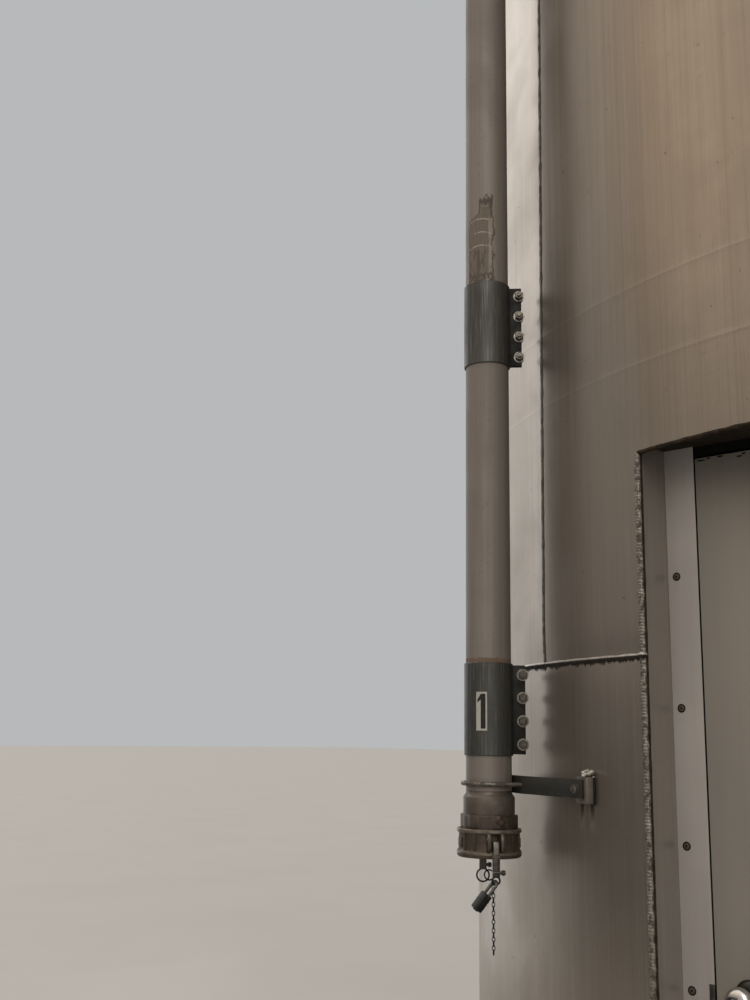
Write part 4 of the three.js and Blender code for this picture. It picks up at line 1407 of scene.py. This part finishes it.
def make_dust_cap():
    """The cap: a rimmed body with two slots for its arms, each between a pair of ears, and raised pads."""
    base = CAP_BASE
    top = CAP_TOP
    below = [
        (0, base + 0.005), (0.053, base + 0.005), (0.0605, base + 0.0012), (0.067, base),
        (0.0695, base + 0.0018), (0.0705, base + 0.005), (0.0705, base + 0.012), (0.0695, base + 0.0145),
        (0.0672, base + 0.0165),
    ]
    above = [
        (0.0672, top - 0.0095), (0.0692, top - 0.0078), (0.0705, top - 0.0062), (0.0705, top - 0.0018),
        (0.0692, top), (0, top),
    ]
    wall = [(0.0665, base + 0.019), (0.0665, top - 0.0115)]
    slot = [(0.0665, base + 0.0175), (0.057, base + 0.0185), (0.057, top - 0.0112), (0.0665, top - 0.0104)]
    bm = bmesh.new()
    for side in (0, 180):
        turned(bm, below + slot + above, 6, CAP, start=side - CAP_SLOT, sweep=2 * CAP_SLOT)
        turned(bm, below + wall + above, 56, CAP, start=side + CAP_SLOT, sweep=180 - 2 * CAP_SLOT)
    piece("cap_body", bm, CASTING, ("dust_cap",))

    # Thin rings over the rims in a lighter metal: painted highlight on the rims' edges
    bm = bmesh.new()
    rim = [(0.0685, 0), (0.0709, 0.0022), (0.0709, 0.0068), (0.0685, 0.009)]
    for foot in (base + 0.0055, top - 0.0086):
        turned(bm, rim, 96, CAP @ moved(0, 0, foot))
    piece("cap_rim_highlights", bm, RIM_HIGHLIGHT)

    bm = bmesh.new()
    for angle in (38, 62, 118, 142, 218, 242, 298, 322):
        size = (0.004, 0.0055, top - base - 0.022)
        block(bm, size, (0.0674, 0, (base + top) / 2 + 0.002), 0.0012, CAP @ spun(angle))
    for angle in (80, 280):
        block(bm, (0.0035, 0.02, 0.02), (0.0668, 0, base + 0.031), 0.0014, CAP @ spun(angle))
    piece("cap_pads", bm, CASTING)

    bm = bmesh.new()
    ear = [
        (0.06, 0.0155), (0.0765, 0.0155), (0.0815, 0.021), (0.084, 0.03), (0.0838, 0.041), (0.0808, 0.05),
        (0.0755, 0.0548), (0.06, 0.056),
    ]
    for side in (-1, 1):
        for offset in (-0.0145, 0.0145):
            side_view(bm, ear, side, 0.0036, 0.0016, offset)
            spot = CAP @ turned_to((0, offset, 0), (side * 0.076, offset * 1.2, base + 0.041))
            rod(bm, 0, 0.0026, 0.0052, sides=20, top=0.0044, where=spot)
    piece("cap_ears", bm, EAR_METAL)


def make_cap_arm(name, side, node):
    """A cam arm folded down: its nose between the ears, its lever a channel with a pin through its end."""
    bm = bmesh.new()
    nose = [
        (0.066, 0.0365), (0.07, 0.0375), (0.0805, 0.0378), (0.0832, 0.033), (0.0832, 0.012), (0.081, 0.002),
        (0.0755, 0.004), (0.0738, 0.016), (0.0705, 0.022), (0.066, 0.025),
    ]
    side_view(bm, nose, side, 0.006, 0.0014)
    piece(f"{name}_nose", bm, ARM_METAL)

    bm = bmesh.new()
    web = [
        (0.0755, 0.014), (0.0792, 0.014), (0.0792, -0.0335), (0.0775, -0.035), (0.0742, -0.035),
        (0.0732, -0.03), (0.0732, 0.004),
    ]
    flange = [
        (0.0765, 0.012), (0.0818, 0.0095), (0.0834, 0.002), (0.0828, -0.012), (0.0834, -0.03),
        (0.0815, -0.0348), (0.0765, -0.0348),
    ]
    side_view(bm, web, side, 0.0078, 0.0012)
    for offset in (-0.0068, 0.0068):
        side_view(bm, flange, side, 0.0011, 0.0006, offset)
    pin = CAP @ turned_to((0, 1, 0), (side * 0.0805, 0, CAP_BASE - 0.026))
    rod(bm, -0.008, 0.013, 0.0036, sides=16, where=pin)
    rod(bm, 0.0125, 0.0195, 0.0062, sides=20, top=0.005, where=pin)
    piece(name, bm, LEVER_METAL, (node,))


def make_pull_rings():
    """A ring through the end of each arm, and a second one on the back arm's."""
    bm = bmesh.new()
    for side, radius, wire in ((-1, BACK_RING, 0.0019), (1, FRONT_RING, 0.0021)):
        bow(bm, radius, wire, 360, 8, 32, CAP @ moved(side * ARM_OUT, 0, RING_TOP - radius) @ spun(90, "Y"))
    second = CAP @ moved(-ARM_OUT - 0.001, 0.0145, RING_TOP - 0.014)
    bow(bm, 0.011, 0.0017, 360, 8, 28, second @ spun(74, "Y"))
    piece("pull_rings", bm, DARK_STEEL)


def make_padlock():
    """The padlock hangs by its shackle from the front arm's ring, leaning aside."""
    top = RING_TOP - 2 * FRONT_RING + 0.0061
    where = CAP @ moved(ARM_OUT, 0, top) @ spun(-38, "X") @ spun(20)
    foot = -SHACKLE_BEND - SHACKLE_LEG
    bm = bmesh.new()
    bow(bm, SHACKLE_BEND, SHACKLE_WIRE, 180, 14, 18, where @ moved(0, 0, -SHACKLE_BEND) @ spun(90, "X"))
    for side in (-SHACKLE_BEND, SHACKLE_BEND):
        rod(bm, foot, -SHACKLE_BEND, SHACKLE_WIRE, sides=14, where=where @ moved(side, 0, 0))
    piece("padlock_shackle", bm, SHACKLE_METAL, ("cap_padlock",))

    bm = bmesh.new()
    block(bm, (0.025, 0.017, 0.04), (0, 0, foot - 0.012), 0.0028, where)
    rod(bm, foot - 0.034, foot - 0.031, 0.006, sides=24, where=where)
    for level in (-0.004, -0.012, -0.02):
        block(bm, (0.0258, 0.0178, 0.0012), (0, 0, foot + level), 0.0004, where)
    piece("padlock_body", bm, DARK_STEEL)


def make_chain():
    """The cap's chain hangs straight, each link a quarter turn from the last."""
    low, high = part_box("cap_chain")
    middle = (low + high) / 2
    link = Matrix.Diagonal((0.62, 1, 1, 1)) @ spun(90, "X")
    bm = bmesh.new()
    for index in range(int((high.z - low.z) / LINK_PITCH)):
        height = high.z - LINK_PITCH * (index + 0.5)
        turn = Matrix.Rotation(math.pi / 2 * (index % 2) + 0.5, 4, "Z")
        bow(bm, 0.005, 0.00145, 360, 6, 12, moved(middle.x, middle.y, height) @ turn @ link)
    piece("cap_links", bm, DARK_STEEL, ("cap_chain",))


def make_number_plate():
    """A plain numeral on a pale plate, wrapped round the lowest sleeve."""
    radius = PIPE_RADIUS + SLEEVE_WALL
    left, right = PLATE_ANGLES
    low, high = PLATE_HEIGHTS
    where = Matrix.Translation(FILL.translation)
    back = radius - 0.001
    front = radius + 0.0005
    bm = bmesh.new()
    outline = [(back, low), (front, low), (front, high), (back, high)]
    turned(bm, outline, 12, where, start=left, sweep=right - left)
    piece("number_plate", bm, LABEL)

    # The numeral's corners, as shares across and up the plate
    figure = [(0.43, 0.05), (0.85, 0.05), (0.85, 0.95), (0.45, 0.95), (0.12, 0.8), (0.12, 0.72), (0.43, 0.8)]
    reach = radius + 0.0009
    bm = bmesh.new()
    verts = []
    for across, up in figure:
        angle = math.radians(left + (right - left) * across)
        height = low + (high - low) * up
        verts.append(bm.verts.new((reach * math.cos(angle), reach * math.sin(angle), height)))
    bm.faces.new(verts)
    bmesh.ops.recalc_face_normals(bm, faces=bm.faces[:])
    bmesh.ops.solidify(bm, geom=bm.faces[:], thickness=0.0009)
    bmesh.ops.transform(bm, matrix=where, verts=bm.verts[:])
    piece("number_figure", bm, INK, sharp=50)


# The door

def dress_door_lining():
    """The lining, frame and seal keep their own shapes."""
    finishes = {
        "reveal_left": LINING_PLATE, "reveal_right": LINING_PLATE, "sill": LINING_PLATE,
        "soffit": SOFFIT_SHADE, "jamb_left": FRAME, "door_head": FRAME, "head_seal": RUBBER,
    }
    for node, material in finishes.items():
        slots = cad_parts[node].data.materials
        slots.clear()
        slots.append(material)


def make_frame_screws():
    """Pan-head screws down both jambs, each in a dark ring: painted shade for its recess."""
    heads = bmesh.new()
    rings = bmesh.new()
    head = [(0.0024, 0), (0.0058, 0), (0.0058, 0.0012), (0.0046, 0.0018), (0.0024, 0.0018)]
    for side in (1, -1):
        for index in range(SCREWS):
            place = turned_to((0, -1, 0), (side * SCREW_X, FACE_Y, SCREW_TOP - SCREW_STEP * index))
            rod(rings, -0.0008, 0.0004, 0.0087, sides=28, where=place)
            turned(heads, head, 28, place)
    piece("frame_screws", heads, SCREW_HEAD)
    piece("frame_screw_recess_shades", rings, SCREW_RECESS_SHADE)


def make_right_jamb():
    low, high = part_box("jamb_left")
    face = DOOR_HALF - JAMB_WIDTH
    stop_y = FACE_Y + 0.05
    corners = [
        (-low.x, FACE_Y), (-low.x, high.y), (face - JAMB_REBATE, high.y), (face - JAMB_REBATE, stop_y),
        (face, stop_y), (face, FACE_Y),
    ]
    bm = bmesh.new()
    upright(bm, corners, low.z, high.z, 0.0008)
    piece("right_jamb", bm, FRAME, ("jamb_right",))


def make_hinges():
    """Three butt hinges, each half on its own body: its plate, its screws, and its knuckles on the pin."""
    bore = 0.0041
    barrel = 0.008
    pin = [(0, -0.055), (0.0035, -0.055), (0.0035, 0.051), (0.0052, 0.052), (0.0052, 0.055), (0, 0.055)]
    for name, body, side, knuckles in (
        ("hinge_jamb_sides", "silo", 1, ((-0.051, -0.018), (0.018, 0.051))),
        ("hinge_leaf_sides", "door", -1, ((-0.0175, 0.0175),)),
    ):
        edge = HINGE_X + side * 0.0085
        web_x = HINGE_X + side * 0.009
        bm = bmesh.new()
        for middle in HINGE_HEIGHTS:
            axle = moved(HINGE_X, FACE_Y - 0.01, middle)
            block(bm, (0.026, 0.0035, 0.102), (edge + side * 0.013, FACE_Y - 0.00175, middle), 0.0008)
            for offset in (-0.035, 0.0, 0.035):
                place = turned_to((0, -1, 0), (edge + side * 0.015, FACE_Y - 0.0035, middle + offset))
                rod(bm, 0, 0.001, 0.0042, sides=20, top=0.0034, where=place)
            for low, high in knuckles:
                turned(bm, [(bore, low), (barrel, low), (barrel, high), (bore, high)], 32, axle)
                block(bm, (0.008, 0.006, high - low), (web_x, FACE_Y - 0.006, middle + (low + high) / 2))
            if body == "silo":
                turned(bm, pin, 24, axle)
        piece(name, bm, FRAME, body=body)


def make_leaf():
    """The leaf and the row of dark slots along its top edge."""
    low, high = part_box("door_leaf")
    size = (-2 * low.x, high.y - FACE_Y, high.z - low.z)
    bm = bmesh.new()
    block(bm, size, (0, (FACE_Y + high.y) / 2, (low.z + high.z) / 2), 0.0018)
    piece("leaf", bm, LEAF, ("door_leaf",), body="door")

    # Each slot's place across, its drop from the top edge and half its length
    thin = 0.0016
    bm = bmesh.new()
    for x, drop, half in (
        (-0.4511, 0.0055, 0.0099), (-0.4349, 0.0036, 0.0043), (-0.41, 0.0036, 0.0064),
        (-0.369, 0.0095, 0.0057), (-0.3595, 0.0052, 0.0044),
    ):
        place = turned_to((0, -1, 0), (x, FACE_Y - 0.0002, high.z - drop))
        rod(bm, -0.001, 0.0003, thin, sides=20, where=place @ Matrix.Diagonal((half / thin, 1, 1, 1)))
    piece("leaf_slots", bm, RUBBER, body="door")


def make_knob():
    """A round knob on a dark rose, with a dark sliver on its face: painted shade for its keyway."""
    low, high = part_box("door_knob")
    where = turned_to((0, -1, 0), ((low.x + high.x) / 2, high.y, (low.z + high.z) / 2))
    rose = [
        (0, 0), (0.032, 0), (0.032, 0.002), (0.031, 0.0045), (0.0265, 0.0075), (0.019, 0.0095), (0, 0.0105),
    ]
    bm = bmesh.new()
    turned(bm, rose, 72, where)
    piece("knob_rose", bm, DARK_CHROME, body="knob", sharp=50)

    knob = [
        (0, 0.0095), (0.0125, 0.0095), (0.0115, 0.013), (0.011, 0.02), (0.0115, 0.025), (0.014, 0.029),
        (0.0185, 0.032), (0.0225, 0.0365), (0.0248, 0.042), (0.026, 0.048), (0.0255, 0.0535),
        (0.0235, 0.058), (0.0195, 0.0615), (0.0145, 0.0635), (0.009, 0.0642), (0.0085, 0.0635), (0, 0.0635),
    ]
    bm = bmesh.new()
    turned(bm, knob, 72, where)
    piece("knob", bm, CHROME, ("door_knob",), body="knob", sharp=50)
    # A dark sliver on the knob's face: painted shade for its keyway
    bm = bmesh.new()
    block(bm, (0.0016, 0.0006, 0.009), (0, 0, 0.0638), 0.0, where)
    piece("knob_keyway_shade", bm, DARK_STEEL, body="knob")


def make_strike():
    """The latch's dark strike plate on the left jamb, and a thin black sheet down the jamb's edge: painted
    shade in the gap between jamb and leaf.
    """
    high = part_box("jamb_left")[1]
    bm = bmesh.new()
    middle = (high.x - JAMB_REBATE - 0.0052, FACE_Y - 0.0004, STRIKE_HEIGHT)
    block(bm, (0.0115, 0.0012, 0.042), middle, 0.0004)
    piece("strike_plate", bm, STRIKE_METAL)

    foot = SILL + 0.002
    edge = JAMB_WIDTH - DOOR_HALF
    # A black sheet in the gap beside the leaf: painted shade
    bm = bmesh.new()
    block(bm, (0.0007, 0.03, high.z - foot), (edge + 0.0003, FACE_Y + 0.0156, (foot + high.z) / 2))
    piece("jamb_gap_shade_sheet", bm, RUBBER)


def make_ports():
    """A round glass in a bolted flange, on a short neck."""
    flange = [
        (0.058, -0.006), (0.062, 0.0), (0.103, 0.0), (0.105, -0.002), (0.105, -0.014), (0.078, -0.014),
        (0.078, -0.046), (0.058, -0.046),
    ]
    glass = [(0, -0.004), (0.0585, -0.004), (0.0585, -0.02), (0, -0.02)]
    for node, height in PORTS.items():
        where = beside(PORT_ANGLE, RADIUS + PORT_OUT, height) @ turned_to((-1, 0, 0))
        bm = bmesh.new()
        turned(bm, flange, 72, where)
        piece(f"{node}_flange", bm, PORT_METAL, (node,))
        bm = bmesh.new()
        turned(bm, glass, 64, where)
        piece(f"{node}_glass", bm, PORT_GLASS)
        bm = bmesh.new()
        for index in range(8):
            nut(bm, 0.0165, 0.008, where @ spun(45 * (index + 0.5)) @ moved(0.0845, 0, 0), end=0.004)
        piece(f"{node}_bolts", bm, FASTENERS)


# Studio

# Two cards on the floor that only reflections see: their start and sweep in degrees, and their brightness
CARDS = {"studio_bright_card": (160.0, 33.5, 0.92), "studio_flag": (195.0, 59.0, 0.02)}
CARD_AWAY = 5.2
CARD_HIGH = 1.85

# The dome: brightness and warmth by the angle from +X, near the horizon and higher up
DOME = 3.2
LOW_BAND = (
    (0, 0.17, 0.3), (60, 0.17, 0.3), (120, 0.15, 0.2), (148, 0.14, 0.1), (158, 0.31, 0.0), (166, 0.4, 0.0),
    (176, 0.45, 0.0), (182, 0.5, 0.0), (186, 0.3, 0.0), (190, 0.1, 0.0), (198, 0.06, 0.2), (214, 0.11, 0.5),
    (240, 0.15, 0.5), (285, 0.2, 0.4), (330, 0.2, 0.3), (360, 0.17, 0.3),
)
HIGH_BAND = (
    (0, 0.2, 0.3), (60, 0.19, 0.3), (120, 0.2, 0.3), (148, 0.24, 0.3), (156, 0.62, 0.2), (166, 0.7, 0.15),
    (176, 0.76, 0.1), (181, 0.8, 0.1), (185, 0.66, 0.1), (188, 0.36, 0.2), (192, 0.14, 0.3),
    (198, 0.09, 0.8), (207, 0.22, 1.1), (217, 0.48, 1.3), (232, 0.34, 1.1), (285, 0.27, 0.6),
    (360, 0.2, 0.3),
)
PLAIN = (1.0, 1.0, 1.0)
WARM = (1.0, 0.84, 0.68)
OVERHEAD_COLOR = (0.375, 0.36, 0.34, 1)
BACKDROP = (0.474, 0.485, 0.49, 1)

# The heights of the dome's unit sphere between which the higher band and the overhead set in
HIGHER = (0.24, 0.49)
OVERHEAD = (0.56, 0.8)


def make_floor():
    bm = bmesh.new()
    bmesh.ops.create_grid(bm, x_segments=1, y_segments=1, size=120)
    made = Finish("studio floor", (0.425, 0.415, 0.395), 0.0, 0.75)
    made.paint(made.blotches(0.8, 0.35), (0.4, 0.39, 0.37), 0.5)
    placed("studio_floor", bm, made.material)


def make_cards():
    """A bright card beside a dark one, so that the skirt mirrors them in place of the even floor."""
    reach = RADIUS + CARD_AWAY
    for name, (start, sweep, level) in CARDS.items():
        bm = bmesh.new()
        turned(bm, [(reach, 0.0), (reach, CARD_HIGH)], 40, AXIS, start=start, sweep=sweep, closed=False)
        made = Finish(name, (0.0, 0.0, 0.0), 0.0, 1.0)
        made.shader.inputs["Emission Color"].default_value = (1.0, 0.99, 0.96, 1)
        made.shader.inputs["Emission Strength"].default_value = level
        card = placed(name, bm, made.material)
        card.visible_camera = False
        card.visible_diffuse = False
        card.visible_shadow = False


def color_ramp(tree, value, stops):
    """The colour at a value, eased through (place, colour) stops."""
    node = tree.nodes.new("ShaderNodeValToRGB")
    put(tree, node.inputs["Fac"], value)
    made = node.color_ramp
    made.interpolation = "EASE"
    while len(made.elements) < len(stops):
        made.elements.new(0.5)
    for element, (place, color) in zip(made.elements, stops):
        element.position = place
        element.color = color
    return node.outputs["Color"]


def band(tree, value, stops):
    """The colours round the horizon, from (angle, brightness, warmth) stops."""
    colored = []
    for angle, level, warmth in stops:
        tint = [plain + (warm - plain) * warmth for plain, warm in zip(PLAIN, WARM)]
        colored.append((angle / 360, (*(level * share for share in tint), 1)))
    return color_ramp(tree, value, colored)


def rise_between(tree, value, low, high):
    """Black below a height, white above another."""
    black = (0.0, 0.0, 0.0, 1)
    white = (1.0, 1.0, 1.0, 1)
    return color_ramp(tree, value, ((0.0, black), (low, black), (high, white), (1.0, white)))


def make_panel(name, place, target, size, power, color):
    """A soft square area light that looks at a point."""
    light = bpy.data.lights.new(name, "AREA")
    light.shape = "RECTANGLE"
    light.size = size
    light.size_y = size
    light.energy = power
    light.color = color
    lamp = bpy.data.objects.new(name, light)
    aim = (Vector(target) - Vector(place)).to_track_quat("-Z", "Y")
    lamp.matrix_world = Matrix.Translation(place) @ aim.to_matrix().to_4x4()
    bpy.context.scene.collection.objects.link(lamp)


def make_light():
    """A soft studio dome: a bright band low beside the pipe, a dark one next to it, and pale overhead."""
    world = bpy.data.worlds.new("studio")
    bpy.context.scene.world = world
    world.use_nodes = True
    tree = world.node_tree
    across, along, up = split(tree, tree.nodes.new("ShaderNodeTexCoord").outputs["Generated"])
    around = (calculated(tree, "ARCTAN2", along, across) / math.tau).fraction()
    bands = mixed(
        tree, rise_between(tree, up, *HIGHER), band(tree, around, LOW_BAND), band(tree, around, HIGH_BAND),
    )
    room = tree.nodes["Background"]
    put(tree, room.inputs["Color"], mixed(tree, rise_between(tree, up, *OVERHEAD), bands, OVERHEAD_COLOR))
    room.inputs["Strength"].default_value = DOME
    wall = tree.nodes.new("ShaderNodeBackground")
    wall.inputs["Color"].default_value = BACKDROP

    # The camera sees an even backdrop in place of the dome
    mix = tree.nodes.new("ShaderNodeMixShader")
    seen = tree.nodes.new("ShaderNodeLightPath").outputs["Is Camera Ray"]
    for socket, output in zip(mix.inputs, (seen, room.outputs[0], wall.outputs[0])):
        tree.links.new(output, socket)
    tree.links.new(mix.outputs[0], tree.nodes["World Output"].inputs["Surface"])
    make_panel("front_fill", (7.0, -9.0, 9.0), (0, 0, 4.0), 9, 500, (1.0, 0.95, 0.88))
    bpy.context.scene.view_settings.view_transform = "Standard"


def make_camera():
    flat = Vector((*LOOK, 0)).normalized()
    side = Vector((flat.y, -flat.x, 0))
    ahead = flat * math.cos(PITCH) + Vector((0, 0, math.sin(PITCH)))
    level = side.cross(ahead)
    right = side * math.cos(ROLL) + level * math.sin(ROLL)
    up = level * math.cos(ROLL) - side * math.sin(ROLL)
    data = bpy.data.cameras.new("camera")
    data.sensor_width = SENSOR
    data.lens = FOCAL_PIXELS * SENSOR / PHOTO_HEIGHT
    data.clip_start = 0.02
    data.clip_end = 500
    camera = bpy.data.objects.new("camera", data)
    camera.matrix_world = Matrix.Translation(EYE) @ Matrix((right, up, -ahead)).transposed().to_4x4()
    bpy.context.scene.collection.objects.link(camera)
    bpy.context.scene.camera = camera


def main():
    make_camera()
    make_light()
    make_floor()
    make_cards()
    make_shell()
    make_shell_welds()
    make_door_welds()
    make_door_gap_shade()
    make_base()
    make_hopper()
    make_roof()
    make_hatch()
    make_inlet()
    make_fill_pipe()
    make_vent_pipe()
    make_adapter()
    make_dust_cap()
    make_cap_arm("arm_back", -1, "cap_arm_back")
    make_cap_arm("arm_front", 1, "cap_arm_front")
    make_pull_rings()
    make_padlock()
    make_chain()
    make_number_plate()
    dress_door_lining()
    make_frame_screws()
    make_right_jamb()
    make_hinges()
    make_leaf()
    make_knob()
    make_strike()
    make_ports()


main()
